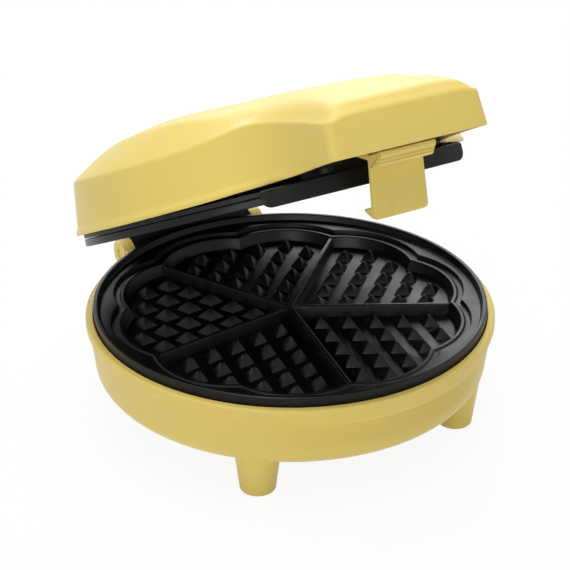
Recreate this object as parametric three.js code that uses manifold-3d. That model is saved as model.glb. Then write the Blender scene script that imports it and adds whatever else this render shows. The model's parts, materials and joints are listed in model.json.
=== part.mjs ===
// Heart waffle maker: a round base on four feet, two heart plates, and a hinged lid with a latch.
// Millimetres, +Z up, the front is -Y. The pieces are drawn around the middle of the base on the table.
// The lid's pieces are drawn closed, then its group is turned about the hinge to where it rests.
// The whole is last slid in Y, so that the origin is on the table under its middle.
import * as THREE from "three";
import { mergeVertices } from "three/addons/utils/BufferGeometryUtils.js";
import Module from "manifold-3d";

const wasm = await Module();
wasm.setup();

// Fits that several pieces share
const FIT = 0.4; // gap between pieces that sit in each other
const OVERRUN = 3; // how far a cutting tool runs past what it cuts
const SCREW_RADIUS = 1.7;
const SCREW_HEAD_RADIUS = 3.2;
const SCREW_HEAD = 2.2;
const SCREW_GRIP = 7; // thread length in the far piece

// The lower plate's rim sets the width of the base, the lid and what they carry
const RIM_RADIUS = 103.5;

// Base shell
const LIP_TOP = 55.8; // height of the base's upper edge above the table
const LIP_OUTSET = 4.3; // how far the lip stands out past the plate's rim
const LIP_ROUND = 1.3;
const BAND_DEPTH = 5; // height of the raised band round the lip
const FRONT_BAND_DEPTH = 9.3; // the same under the latch
const WALL_SETBACK = 1.4; // how far the wall's top stands in from the band
const WALL_TAPER = 2.4; // how far the wall leans in towards the floor
const WALL_LOW = 31; // height where the wall turns into the floor
const FLOOR_CORNER = 26.5; // how far in that corner reaches
const FLOOR_HEIGHT = 17.2;
const SCOOP_DEPTH = 4.6; // recess in the wall under the front band
const SCOOP_DROP = 15; // how far the recess runs down the wall
const BASE_WALL = 2.4;
const PLATE_SEAT = 3; // depth of the ledge that the lower plate's skirt stands over
const VENT_WIDTH = 3.4;
const VENT_LENGTH = 18;
const VENT_INSET = 29.5; // from the floor's flat edge in to the middle of each vent

// Feet
const FOOT_INSET = 12.9; // from the wall's low edge in to the foot's middle
const FOOT_BOTTOM_RADIUS = 9;
const FOOT_TOP_RADIUS = 12.6;
const FOOT_ROUND = 1.2;
const PAD_RADIUS = 6;
const PAD_THICKNESS = 2.4;
const PAD_PROUD = 0.7; // how far the pad stands below the foot

// Hinge
const HINGE_OUTSET = 4.8; // how far the axis stands behind the lip
const HINGE_DROP = 7; // how far it stands below the lip's top
const EAR_INNER = 38.5;
const EAR_THICKNESS = 6.7;
const EAR_RADIUS = 8;
const EAR_ROOT = 17; // how far the ear's root reaches down the wall
const BARREL_RADIUS = 6;
const PIN_RADIUS = 2.6;
const PIN_LENGTH = 17;

// Heart plates, drawn for the lower one; the upper one is the same turned over
const RIM_RISE = 5; // how far the lower plate's rim stands above the lip
const RIM_WIDTH = 2.4;
const RIM_SLOPE = 0.9;
const RIM_ROUND = 0.7;
const RING_DROP = 3.8; // from the rim's top down to the flat ring
const SKIRT_DEPTH = 2.6;
const UPPER_RIM_INSET = 3.5; // how much narrower the upper plate is all round
const UPPER_RIM_HEIGHT = 3.8;
const PARTING = 1.2; // gap between the closed plates
const CAVITY_DEPTH = 8;
const PLATE_FLOOR = 3;
const CUP_INSET = 8.5; // from the rim in to the plate's cup
const LOBE_RADIUS = 39;
const LOBE_INSET = 4; // from the cup in to the farthest point of each lobe
const CAVITY_SLOPE = 2.6; // how much narrower the cavity is at its floor
const CHANNEL_OUTER = 5.2; // overflow channel round the lobes, measured out from them
const CHANNEL_INNER = 1.7;
const CHANNEL_DEPTH = 2.2;
const RIDGE_DROP = 1.4; // how far the wavy edge stands below the flat ring
const CELL_PITCH = 14.3;
const CELL_HEIGHT = 5;
const DIVIDER_WIDTH = 5.4;
const DIVIDER_TOP_WIDTH = 2.2;
const DIVIDER_HEIGHT = 6;
const PLATE_SCREW_INSET = 5; // from the cup in to its screws

// Heating parts
const HEATER_INSET = 8; // from the reflector's flat edge in to the element
const HEATER_RADIUS = 3.3;
const HEATER_GAP = 24; // between the element's two ends
const HEATER_LEG = 7;
const HEATER_PIN_RADIUS = 1.2;
const HEATER_PIN = 6;
const REFLECTOR_SHEET = 0.8;
const REFLECTOR_INSET = 19; // from the cup in to the reflector's edge
const REFLECTOR_WALL = 12; // from its edge in to its flat
const REFLECTOR_RIM = 4;
const REFLECTOR_DEPTH = 9.4;
const REFLECTOR_SCREW_RADIUS = 5;
const THERMOSTAT_RADIUS = 9;
const THERMOSTAT_HEIGHT = 8;
const FUSE_RADIUS = 2;
const FUSE_LENGTH = 14;

// Lid shell
const LID_GAP = 1.3; // from the rim's top up to the lid's edge
const LID_SETBACK = 1; // how much narrower the lid is than the rim
const LID_BEAD = 0.6; // how far the lid's lower edge flares out
const LID_BEAD_HEIGHT = 4.6;
const LID_TAPER = 3.4; // how far the lid's side wall leans in
const LID_WALL = 2.2;
const EDGE_RISE = 25.7; // from the lid's edge up to the top of its side wall
const SHOULDER_RISE = 32.2; // the same where the plateau meets the wall
const NOSE_RISE = 24.5; // the same at the handle's front
const CREST_RISE = 51.8; // the plateau's highest point
const PLATEAU_HALF = 35;
const PLATEAU_FLARE = 9.5;
const CROWN_RISE = 13; // how far the plateau bulges between its two ridges
const EDGE_ROUND = 0.9;
const HANDLE_LENGTH = 43; // how far the handle reaches past the lid's wall
const HANDLE_HALF = 40.4;
const HANDLE_TAPER = 1;
const HANDLE_CORNER = 3.5;
const HANDLE_LIFT = 7.3; // how far the handle's lower edge stands above the lid's

// Lid inner frame
const FRAME_THICKNESS = 2.2;
const FRAME_LAP = 3.5; // how far the frame reaches in over the upper plate's rim
const APRON_THICKNESS = 2.5;
const APRON_HALF = 51.5;
const APRON_TOP_HALF = 42;
const APRON_CORNER = 4.5;
const APRON_GAP = 0.5; // between the apron and the base's lip
const COWL_OUTSET = 15; // how far the cowl reaches past the cheeks on each side
const COWL_HEIGHT = 15;
const COWL_THICKNESS = 2;
const COWL_SETBACK = 3.8; // how far the cowl stands behind the apron
const BLOCK_REAR = 6; // how far the hinge block reaches behind the axis
const BLOCK_HEIGHT = 22.8;
const BLOCK_REACH = 15.1; // how far it reaches in front of the axis, above the rim
const TAB_WIDTH = 12;
const TAB_REACH = 13;
const SHELF_REACH = 12;
const SHELF_WIDTH = 13;
const SHELF_LIFT = 3.6;
const BOSS_RADIUS = 4;

// Latch
const LATCH_HALF = 13.9;
const LATCH_STANDOFF = 22.4; // from the apron out to the top of the blade's outer face
const LATCH_LEAN = 6.9; // how far the blade leans in towards its hook
const LATCH_THICKNESS = 2.5;
const LATCH_CORNER = 2.6;
const LATCH_PIVOT_OUTSET = 0.7; // how far the pivot stands out past the apron
const LATCH_PIVOT_RISE = 13.4; // pivot above the lid's edge
const LATCH_EYE_RADIUS = 3.2;
const LATCH_PIN_RADIUS = 1.3;
const HOOK_REACH = 6;
const HOOK_HEIGHT = 6;
const HOOK_TIP = 1.2;
const HOOK_GAP = 1; // from the band's lower edge down to the hook as the latch hangs
const PAD_HALF = 14.6;
const PAD_REACH = 11.4;
const PAD_HEIGHT = 6.6;
const PAD_CHAMFER = 4.6;
const PAD_GROOVE = 0.8;
const CHEEK_THICKNESS = 3.6;
const CHEEK_RADIUS = 5;

// Cord inlet, wiring and lamps
const GLAND_HEIGHT = 31;
const GLAND_BORE = 3.3;
const GLAND_RADIUS = 5.6;
const GLAND_FLANGE_RADIUS = 8;
const GLAND_FLANGE = 2.4;
const GLAND_SEAT_PROUD = 1.8; // how far the gland's flat seat stands out past the wall
const TERMINAL_WIDTH = 26;
const TERMINAL_DEPTH = 11;
const TERMINAL_HEIGHT = 10;
const TERMINAL_INSET = 6.5; // from the floor's flat edge in to the block
const LEAD_RADIUS = 1.3;
const LENS_RADIUS = 4;
const LENS_SPREAD = 11;
const LENS_INSET = 15.1; // from the lid's top edge in to the lenses
const LENS_PROUD = 1;
const LENS_FLANGE = 1.2;
const LAMP_RADIUS = 2.6;
const LAMP_LENGTH = 10;

// Angles in degrees, counts of facets, and shares
const REST_ANGLE = 27.5;
const FOOT_ANGLE = 48.8; // of each foot from the X axis
const HEART_ANGLE = -101;
const HEARTS = 5;
const PLATE_SCREW_PLACES = [2, 5, 8]; // which of the ten notches hold a screw
const ROUND = 48;
const SMALL_ROUND = 12;
const MID_ROUND = 20;
const VENTS = 10;
const LOBE_STEPS = 4;
const HEATER_STEPS = 24;
const HEATER_FACETS = 6;
const REFLECTOR_ROUND = 28;
const LEAD_STEPS = 8;
const LEAD_FACETS = 5;
const EAR_STEPS = 8;
const CORNER_STEPS = 3;
const BAND_FULL_ANGLE = 20;
const BAND_FADE_ANGLE = 43;
const CELL_SHARE = 0.36;
const CELL_START_SHARE = 0.82;
const HANDLE_START_ANGLE = -60.5;
const REAR_ANGLE = 80;
const SIDE_ROWS = 20;
const BLEND_ROWS = 5;
const CORNER_ROWS = 3;
// across a side facet of the lid, from the wall's top to the plateau's ridge
const FACET_SHARES = [0.94, 0.82, 0.6, 0.3];
// across the plateau, from a ridge to the middle
const CROSS_SHARES = [0.93, 0.8, 0.6, 0.3];
const CROWN_POWER = 5; // how flat the bulge is in the middle
// along the lid: the plateau's bulge, at places as in the list below
const CROWN_SHARES = [
  [-1, 0.16], [-0.982, 0.5], [-0.955, 0.8], [-0.915, 0.95], [-0.85, 1], [-0.72, 1],
  [-0.57, 0.76], [-0.405, 0.61], [-0.234, 0.46], [0, 0.29], [0.275, 0.14], [0.42, 0.07], [0.7, 0.05],
];
// along the lid: place as a share of the handle's reach, height as a share of the plateau's rise
const PLATEAU_SHARES = [
  [-1, 0], [-0.976, 0.01], [-0.885, 0.04], [-0.83, 0.085], [-0.783, 0.13], [-0.73, 0.17],
  [-0.68, 0.215], [-0.6, 0.325], [-0.522, 0.425], [-0.38, 0.527], [-0.234, 0.634], [0.005, 0.766],
  [0.22, 0.9], [0.37, 0.985], [0.44, 1], [0.52, 0.965], [0.6, 0.84], [0.665, 0.6], [0.72, 0.25],
];
// along the lid: height of the wall's top, from the side edge 0 to the shoulder 1
const EDGE_SHARES = [
  [-1, -0.5], [-0.8, 0.4], [-0.665, 1], [-0.63, 0.82], [-0.6, 0.62], [-0.53, 0.36],
  [-0.44, 0.18], [-0.19, 0.13], [0, 0], [0.77, -0.5],
];
// along the lid: how far its lower edge has risen towards the handle's
const LIFT_SHARES = [
  [-1, 1], [-0.915, 0.93], [-0.845, 0.9], [-0.78, 0.73], [-0.72, 0.45], [-0.665, 0],
];
// side of the handle as shares of the way from the lid's wall to the handle's side
const SIDE_SWEEP_SHARES = [[0.34, 0.15], [0.78, 0.45]];
// where the plateau starts and ends to flare, and the most of the lid's width that it takes
const FLARE_SHARES = [-0.4, -0.665];
const PLATEAU_WIDTH_SHARE = 0.96;
// how a side facet bulges: the powers of its rounded profile
const FACET_BULGE_SHARES = [1.3, 0.4];
const SCOOP_SHARES = [0.85, 0.7]; // depth and height of the recess's middle
const CELL_EDGE_SHARE = 0.7; // how near to a lobe's edge a stud may stand, in cells
const REAR_SCREW_SHARE = 0.78;
const GROOVE_SHARES = [0.35, 0.65];
const LEAD_SHARES = [0.6, 0.4];

// Widths that follow
const LIP_RADIUS = RIM_RADIUS + LIP_OUTSET;
const WALL_TOP_RADIUS = LIP_RADIUS - WALL_SETBACK;
const WALL_LOW_RADIUS = WALL_TOP_RADIUS - WALL_TAPER;
const FLOOR_RADIUS = WALL_LOW_RADIUS - FLOOR_CORNER;
const VENT_MIDDLE = FLOOR_RADIUS - VENT_INSET;
const FOOT_MIDDLE = WALL_LOW_RADIUS - FOOT_INSET;
const UPPER_RIM_RADIUS = RIM_RADIUS - UPPER_RIM_INSET;
const CUP_RADIUS = RIM_RADIUS - CUP_INSET;
const LOBE_REACH = CUP_RADIUS - LOBE_INSET;
const LOBE_CENTRE = LOBE_REACH - LOBE_RADIUS;
const PLATE_SCREW_MIDDLE = CUP_RADIUS - PLATE_SCREW_INSET;
const REFLECTOR_RADIUS = CUP_RADIUS - REFLECTOR_INSET;
const REFLECTOR_FLAT = REFLECTOR_RADIUS - REFLECTOR_WALL;
const HEATER_MIDDLE = REFLECTOR_FLAT - HEATER_INSET;
const LID_RADIUS = RIM_RADIUS - LID_SETBACK;
const LID_TOP_RADIUS = LID_RADIUS - LID_TAPER;
const HANDLE_REACH = LID_RADIUS + HANDLE_LENGTH;
const FRAME_INNER = UPPER_RIM_RADIUS - FRAME_LAP;
const POCKET_RADIUS = RIM_RADIUS + FIT;
const APRON_INNER = POCKET_RADIUS + FIT;
const APRON_RADIUS = APRON_INNER + APRON_THICKNESS;
const COWL_RADIUS = APRON_RADIUS - COWL_SETBACK;
const COWL_HALF = PAD_HALF + CHEEK_THICKNESS + COWL_OUTSET;
const LATCH_FACE = APRON_RADIUS + LATCH_STANDOFF;
const LATCH_PIVOT_Y = -APRON_RADIUS - LATCH_PIVOT_OUTSET;
const HINGE_Y = LIP_RADIUS + HINGE_OUTSET;
const GLAND_SEAT = WALL_LOW_RADIUS + GLAND_SEAT_PROUD;
const TERMINAL_Y = FLOOR_RADIUS - TERMINAL_INSET;
const LENS_Y = LID_TOP_RADIUS - LENS_INSET;

// Heights and places that follow
const HINGE_Z = LIP_TOP - HINGE_DROP;
const RIM_TOP = LIP_TOP + RIM_RISE;
const RING_TOP = RIM_TOP - RING_DROP;
const PLATE_BOTTOM = RING_TOP - CAVITY_DEPTH - PLATE_FLOOR;
const UPPER_RING = RING_TOP + PARTING;
const UPPER_BACK = UPPER_RING + CAVITY_DEPTH + PLATE_FLOOR;
const LID_EDGE = RIM_TOP + LID_GAP;
const FRAME_BOTTOM = UPPER_RING + UPPER_RIM_HEIGHT + FIT;
const FRAME_TOP = FRAME_BOTTOM + FRAME_THICKNESS;
const LATCH_PIVOT_Z = LID_EDGE + LATCH_PIVOT_RISE;
const BAND_BOTTOM = LIP_TOP - FRONT_BAND_DEPTH;
const HOOK_TOP = BAND_BOTTOM - HOOK_GAP;
const PAD_TOP = LID_EDGE + HANDLE_LIFT;

const rad = THREE.MathUtils.degToRad;
const lerp = THREE.MathUtils.lerp;
const toHinge = [0, -HINGE_Y, -HINGE_Z];

// Look up a value on a list of [place, value] shares, straight between them
function along(shares, place) {
  if (place <= shares[0][0]) return shares[0][1];
  for (let i = 1; i < shares.length; i += 1) {
    const [from, low] = shares[i - 1];
    const [to, high] = shares[i];
    if (place <= to) return lerp(low, high, (place - from) / (to - from));
  }
  return shares[shares.length - 1][1];
}

// A closed three.js geometry as a solid, with its faces pointing out
function solid(geometry) {
  geometry.deleteAttribute("normal");
  geometry.deleteAttribute("uv");
  const merged = mergeVertices(geometry);
  const at = merged.attributes.position;
  const corner = (i) => new THREE.Vector3().fromBufferAttribute(at, i);
  const faces = [];
  let volume = 0;
  for (let i = 0; i < merged.index.count; i += 3) {
    const [a, b, c] = [0, 1, 2].map((k) => merged.index.getX(i + k));
    if (a !== b && b !== c && c !== a) {
      faces.push([a, b, c]);
      volume += corner(a).dot(corner(b).cross(corner(c)));
    }
  }
  const triVerts = new Uint32Array(faces.map((f) => (volume < 0 ? [f[0], f[2], f[1]] : f)).flat());
  const vertProperties = new Float32Array(at.array);
  return new wasm.Manifold(new wasm.Mesh({ numProp: 3, vertProperties, triVerts }));
}

const join = (first, ...more) => more.reduce((whole, piece) => whole.add(piece), first);
const cut = (first, ...tools) => tools.reduce((whole, tool) => whole.subtract(tool), first);

// A profile of [radius, height] turned about the upright axis
function turned(profile, facets = ROUND) {
  const points = profile.map(([r, z]) => new THREE.Vector2(r, z));
  return solid(new THREE.LatheGeometry(points, facets).rotateX(Math.PI / 2));
}

// A turned ring with a rectangular section
function ring(inner, outer, low, high, facets = ROUND) {
  return turned([[inner, low], [outer, low], [outer, high], [inner, high], [inner, low]], facets);
}

function box(x0, x1, y0, y1, z0, z1) {
  const shape = new THREE.BoxGeometry(x1 - x0, y1 - y0, z1 - z0);
  return solid(shape.translate((x0 + x1) / 2, (y0 + y1) / 2, (z0 + z1) / 2));
}

// Upright rod or cone from one height to another
function post(x, y, low, high, radius, topRadius = radius, facets = SMALL_ROUND) {
  const shape = new THREE.CylinderGeometry(topRadius, radius, high - low, facets);
  return solid(shape.rotateX(Math.PI / 2).translate(x, y, (low + high) / 2));
}

// Rod along X
function crossRod(x0, x1, y, z, radius, facets = SMALL_ROUND) {
  const shape = new THREE.CylinderGeometry(radius, radius, x1 - x0, facets);
  return solid(shape.rotateZ(Math.PI / 2).translate((x0 + x1) / 2, y, z));
}

// Rod along Y
function foreRod(x, z, y0, y1, radius, facets = SMALL_ROUND) {
  const shape = new THREE.CylinderGeometry(radius, radius, y1 - y0, facets);
  return solid(shape.translate(x, (y0 + y1) / 2, z));
}

// A flat outline of [x, y] points raised from one height to another
function prism(points, low, high) {
  const shape = new THREE.Shape(points.map(([x, y]) => new THREE.Vector2(x, y)));
  const geometry = new THREE.ExtrudeGeometry(shape, { depth: high - low, bevelEnabled: false });
  return solid(geometry.translate(0, 0, low));
}

// A side outline of [y, z] points, made half on each side of X = 0
function sidePrism(points, half) {
  const shape = new THREE.Shape(points.map(([y, z]) => new THREE.Vector2(y, z)));
  const geometry = new THREE.ExtrudeGeometry(shape, { depth: 2 * half, bevelEnabled: false });
  geometry.rotateX(Math.PI / 2).rotateZ(Math.PI / 2);
  return solid(geometry.translate(-half, 0, 0));
}

// A front outline of [x, z] points, made from y0 to y1
function frontPrism(points, y0, y1) {
  const shape = new THREE.Shape(points.map(([x, z]) => new THREE.Vector2(x, z)));
  const geometry = new THREE.ExtrudeGeometry(shape, { depth: y1 - y0, bevelEnabled: false });
  return solid(geometry.rotateX(Math.PI / 2).translate(0, y1, 0));
}

// Quarter-round corner points from one angle, in degrees, to another
function arc(x, y, radius, from, to, steps) {
  return Array.from({ length: steps + 1 }, (_, i) => {
    const a = rad(lerp(from, to, i / steps));
    return [x + radius * Math.cos(a), y + radius * Math.sin(a)];
  });
}

// Closed rings of as many points each, skinned and closed with flat ends
function loft(rings, flat) {
  const count = rings[0].length;
  const faces = [];
  for (let i = 0; i + 1 < rings.length; i += 1) {
    for (let k = 0; k < count; k += 1) {
      const [a, b] = [i * count + k, i * count + ((k + 1) % count)];
      faces.push(a, b, b + count, a, b + count, a + count);
    }
  }
  const cap = (row) => THREE.ShapeUtils.triangulateShape(rings[row].map(flat), []);
  const last = rings.length - 1;
  cap(0).forEach(([a, b, c]) => faces.push(a, c, b));
  cap(last).forEach(([a, b, c]) => faces.push(last * count + a, last * count + b, last * count + c));
  const geometry = new THREE.BufferGeometry();
  const numbers = rings.flat().flatMap((p) => [p.x, p.y, p.z]);
  geometry.setAttribute("position", new THREE.Float32BufferAttribute(numbers, 3));
  geometry.setIndex(faces);
  return solid(geometry);
}

// A section of [radius, height] points that changes with the angle; it starts and ends on the axis
function swept(sectionAt, facets = ROUND) {
  const numbers = [];
  const faces = [];
  const sections = Array.from({ length: facets }, (_, i) => sectionAt((360 * i) / facets));
  const inner = sections[0].length - 2;
  sections.forEach((section, i) => {
    const a = (2 * Math.PI * i) / facets;
    section.slice(1, -1).forEach(([r, z]) => numbers.push(r * Math.sin(a), -r * Math.cos(a), z));
    for (let k = 0; k < inner; k += 1) {
      const [here, next] = [i * inner + k, ((i + 1) % facets) * inner + k];
      if (k + 1 < inner) faces.push(here, next, next + 1, here, next + 1, here + 1);
      if (k === 0) faces.push(facets * inner, next, here);
      if (k === inner - 1) faces.push(facets * inner + 1, here, next);
    }
  });
  numbers.push(0, 0, sections[0][0][1], 0, 0, sections[0][inner + 1][1]);
  const geometry = new THREE.BufferGeometry();
  geometry.setAttribute("position", new THREE.Float32BufferAttribute(numbers, 3));
  geometry.setIndex(faces);
  return solid(geometry);
}

// A round tube along a curve
function tube(points, radius, steps, facets) {
  const path = new THREE.CatmullRomCurve3(points.map((p) => new THREE.Vector3(...p)));
  const disc = new THREE.Shape(arc(0, 0, radius, 0, 360, facets).slice(0, -1)
    .map(([x, y]) => new THREE.Vector2(x, y)));
  return solid(new THREE.ExtrudeGeometry(disc, { steps, extrudePath: path, bevelEnabled: false }));
}

// Materials
const paint = (color, roughness, metalness = 0) =>
  new THREE.MeshStandardMaterial({ color, roughness, metalness });
const yellowPlastic = () => paint(0xecd888, 0.42);
const blackPlastic = () => paint(0x1b1b1a, 0.5);
const coatedMetal = () => paint(0x2b2b29, 0.45, 0.3);
const bareSteel = () => paint(0xb9bcbf, 0.35, 0.9);
const dullMetal = () => paint(0xc4c6c8, 0.5, 0.8);
const greyRubber = () => paint(0x3a3a38, 0.85);
const ivoryPlastic = () => paint(0xe6dfcc, 0.5);
const redLens = () => paint(0xb3201c, 0.25);
const greenLens = () => paint(0x1f8a3c, 0.25);
const greyCable = () => paint(0x8a8d90, 0.6);

function mesh(name, piece, material, shift = [0, 0, 0]) {
  const { vertProperties, triVerts } = piece.getMesh();
  const geometry = new THREE.BufferGeometry();
  geometry.setAttribute("position", new THREE.BufferAttribute(vertProperties, 3));
  geometry.setIndex(new THREE.BufferAttribute(triVerts, 1));
  geometry.translate(...shift);
  geometry.computeVertexNormals();
  const item = new THREE.Mesh(geometry, material);
  item.name = name;
  return item;
}

// A pan-head screw that points up from its head, or down where flip is true
function screw(x, y, headAt, length, flip = false) {
  const way = flip ? -1 : 1;
  const order = (a, b) => [Math.min(a, b), Math.max(a, b)];
  const head = post(x, y, ...order(headAt, headAt + way * SCREW_HEAD), SCREW_HEAD_RADIUS);
  const shank = post(x, y, ...order(headAt + way * SCREW_HEAD / 2, headAt + way * length),
    SCREW_RADIUS);
  const slot = box(x - SCREW_HEAD_RADIUS / 2, x + SCREW_HEAD_RADIUS / 2, y - SCREW_RADIUS / 4,
    y + SCREW_RADIUS / 4, ...order(headAt - way * OVERRUN, headAt + way * SCREW_HEAD / 2));
  return cut(join(head, shank), slot);
}

// Points on a circle of the plates' notches, where the screws sit
function notch(place, radius) {
  const a = rad(HEART_ANGLE + (place * 180) / HEARTS);
  return [radius * Math.cos(a), radius * Math.sin(a)];
}

// Base shell

// 1 under the latch, 0 round the sides and the back
function frontShare(angle) {
  const off = Math.min(angle, 360 - angle);
  return 1 - THREE.MathUtils.smoothstep(off, BAND_FULL_ANGLE, BAND_FADE_ANGLE);
}

// Outside of the base at one angle from the front, or its inside where inset is the wall
function baseSection(angle, inset, top) {
  const front = frontShare(angle);
  const bandBottom = LIP_TOP - lerp(BAND_DEPTH, FRONT_BAND_DEPTH, front);
  const scoop = SCOOP_DEPTH * front;
  const scoopEnd = BAND_BOTTOM - SCOOP_DROP;
  const slope = (WALL_TOP_RADIUS - WALL_LOW_RADIUS) / (LIP_TOP - BAND_DEPTH - WALL_LOW);
  const wall = (z) => WALL_LOW_RADIUS + slope * (z - WALL_LOW) - inset;
  const corner = new THREE.QuadraticBezierCurve(
    new THREE.Vector2(FLOOR_RADIUS, FLOOR_HEIGHT + inset),
    new THREE.Vector2(WALL_LOW_RADIUS - inset, FLOOR_HEIGHT + inset),
    new THREE.Vector2(WALL_LOW_RADIUS - inset, WALL_LOW),
  );
  const low = [[0, FLOOR_HEIGHT + inset], ...corner.getPoints(CORNER_STEPS).map((p) => [p.x, p.y])];
  low.push([wall(scoopEnd), scoopEnd]);
  const [depth, height] = SCOOP_SHARES;
  low.push([wall(bandBottom) - scoop * depth, lerp(scoopEnd, bandBottom, height)]);
  if (inset > 0) {
    return [...low, [wall(bandBottom) - scoop, bandBottom], [wall(bandBottom) - scoop, top], [0, top]];
  }
  return [...low,
    [wall(bandBottom) - scoop, bandBottom],
    [LIP_RADIUS - LIP_ROUND / 2, bandBottom],
    [LIP_RADIUS, bandBottom + LIP_ROUND / 2],
    [LIP_RADIUS, top - LIP_ROUND],
    [LIP_RADIUS - LIP_ROUND / 3, top - LIP_ROUND / 3],
    [LIP_RADIUS - LIP_ROUND, top],
    [0, top],
  ];
}

function ear(side) {
  const outline = [
    [HINGE_Y - EAR_ROOT, HINGE_Z - EAR_ROOT - EAR_RADIUS],
    [HINGE_Y - EAR_RADIUS, HINGE_Z - EAR_ROOT],
    ...arc(HINGE_Y, HINGE_Z, EAR_RADIUS, -50, 180, EAR_STEPS),
    [HINGE_Y - EAR_RADIUS, LIP_TOP - LIP_ROUND],
    [HINGE_Y - EAR_ROOT, LIP_TOP - LIP_ROUND],
  ];
  const plate = sidePrism(outline, EAR_THICKNESS / 2);
  return plate.translate([side * (EAR_INNER + EAR_THICKNESS / 2), 0, 0]);
}

function foot(x, y) {
  const leg = join(
    post(x, y, PAD_PROUD, PAD_PROUD + FOOT_ROUND, FOOT_BOTTOM_RADIUS - FOOT_ROUND,
      FOOT_BOTTOM_RADIUS, MID_ROUND),
    post(x, y, PAD_PROUD + FOOT_ROUND, WALL_LOW, FOOT_BOTTOM_RADIUS, FOOT_TOP_RADIUS, MID_ROUND),
  );
  return leg.intersect(post(0, 0, 0, WALL_LOW, WALL_LOW_RADIUS - FIT, WALL_LOW_RADIUS - FIT, ROUND));
}

const feet = [[-1, -1, "fl"], [1, -1, "fr"], [-1, 1, "rl"], [1, 1, "rr"]]
  .map(([i, k, name]) => ({
    name,
    x: i * FOOT_MIDDLE * Math.cos(rad(FOOT_ANGLE)),
    y: k * FOOT_MIDDLE * Math.sin(rad(FOOT_ANGLE)),
  }));
const WELL_TOP = PLATE_BOTTOM - SCREW_GRIP;

function makeBaseShell() {
  const skin = swept((angle) => baseSection(angle, 0, LIP_TOP));
  const seat = LIP_TOP - PLATE_SEAT;
  const hollow = join(
    swept((angle) => baseSection(angle, BASE_WALL, seat + OVERRUN)),
    post(0, 0, seat, LIP_TOP + OVERRUN, POCKET_RADIUS, POCKET_RADIUS, ROUND),
  );
  const glandBoss = foreRod(0, GLAND_HEIGHT, FLOOR_RADIUS, GLAND_SEAT,
    GLAND_FLANGE_RADIUS + FIT, MID_ROUND);
  let shell = join(skin, ear(-1), ear(1), glandBoss, ...feet.map(({ x, y }) => foot(x, y)));
  shell = cut(shell, hollow);
  // posts that carry the lower plate, each with a screw well from below
  for (const place of PLATE_SCREW_PLACES) {
    const [x, y] = notch(place, PLATE_SCREW_MIDDLE);
    const column = post(x, y, 0, PLATE_BOTTOM - FIT, BOSS_RADIUS + BASE_WALL / 2);
    shell = join(shell, column.intersect(skin));
    shell = cut(shell,
      post(x, y, -OVERRUN, WELL_TOP, SCREW_HEAD_RADIUS + FIT),
      post(x, y, WELL_TOP - OVERRUN, LIP_TOP, SCREW_RADIUS + FIT));
  }
  // room for the lid's hinge block between the ears, and the pin bores
  shell = cut(shell,
    crossRod(-EAR_INNER, EAR_INNER, HINGE_Y, HINGE_Z, BARREL_RADIUS + 2 * FIT, MID_ROUND),
    crossRod(-EAR_INNER - 2 * EAR_THICKNESS, EAR_INNER + 2 * EAR_THICKNESS, HINGE_Y, HINGE_Z,
      PIN_RADIUS + FIT),
    foreRod(0, GLAND_HEIGHT, FLOOR_RADIUS - OVERRUN, LIP_RADIUS, GLAND_RADIUS + FIT));
  for (const { x, y } of feet) {
    shell = cut(shell, post(x, y, -OVERRUN, PAD_THICKNESS + FIT, PAD_RADIUS + FIT));
  }
  for (let i = 0; i < VENTS; i += 1) {
    const a = (2 * Math.PI * i) / VENTS;
    const slot = new THREE.BoxGeometry(VENT_LENGTH, VENT_WIDTH, 4 * BASE_WALL);
    slot.translate(VENT_MIDDLE, 0, FLOOR_HEIGHT).rotateZ(a + Math.PI / VENTS);
    shell = cut(shell, solid(slot));
  }
  return shell;
}

// Heart plates

// Outline of the ten lobes, moved out by a distance
function lobes(out) {
  const radius = LOBE_RADIUS + out;
  const points = [];
  const steps = LOBE_STEPS;
  for (let lobe = 0; lobe < 2 * HEARTS; lobe += 1) {
    const middle = HEART_ANGLE + ((lobe + 0.5) * 180) / HEARTS;
    for (let i = 0; i < steps; i += 1) {
      const off = rad(lerp(-90 / HEARTS, 90 / HEARTS, i / steps));
      const reach = LOBE_CENTRE * Math.cos(off)
        + Math.sqrt(radius ** 2 - (LOBE_CENTRE * Math.sin(off)) ** 2);
      points.push([reach * Math.cos(rad(middle) + off), reach * Math.sin(rad(middle) + off)]);
    }
  }
  return points;
}

// A pyramid with a slanted square foot, for one cell of the grid
function stud([x, y], along1, along2, low) {
  const reach = CELL_PITCH * CELL_SHARE;
  const corners = [[-1, -1], [1, -1], [1, 1], [-1, 1]].map(([i, k]) => [
    x + reach * (i * along1[0] + k * along2[0]),
    y + reach * (i * along1[1] + k * along2[1]),
    low - CELL_HEIGHT / 5,
  ]);
  const geometry = new THREE.BufferGeometry();
  const numbers = [...corners.flat(), x, y, low + CELL_HEIGHT];
  geometry.setAttribute("position", new THREE.Float32BufferAttribute(numbers, 3));
  geometry.setIndex([0, 2, 1, 0, 3, 2, 0, 1, 4, 1, 2, 4, 2, 3, 4, 3, 0, 4]);
  return solid(geometry);
}

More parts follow.
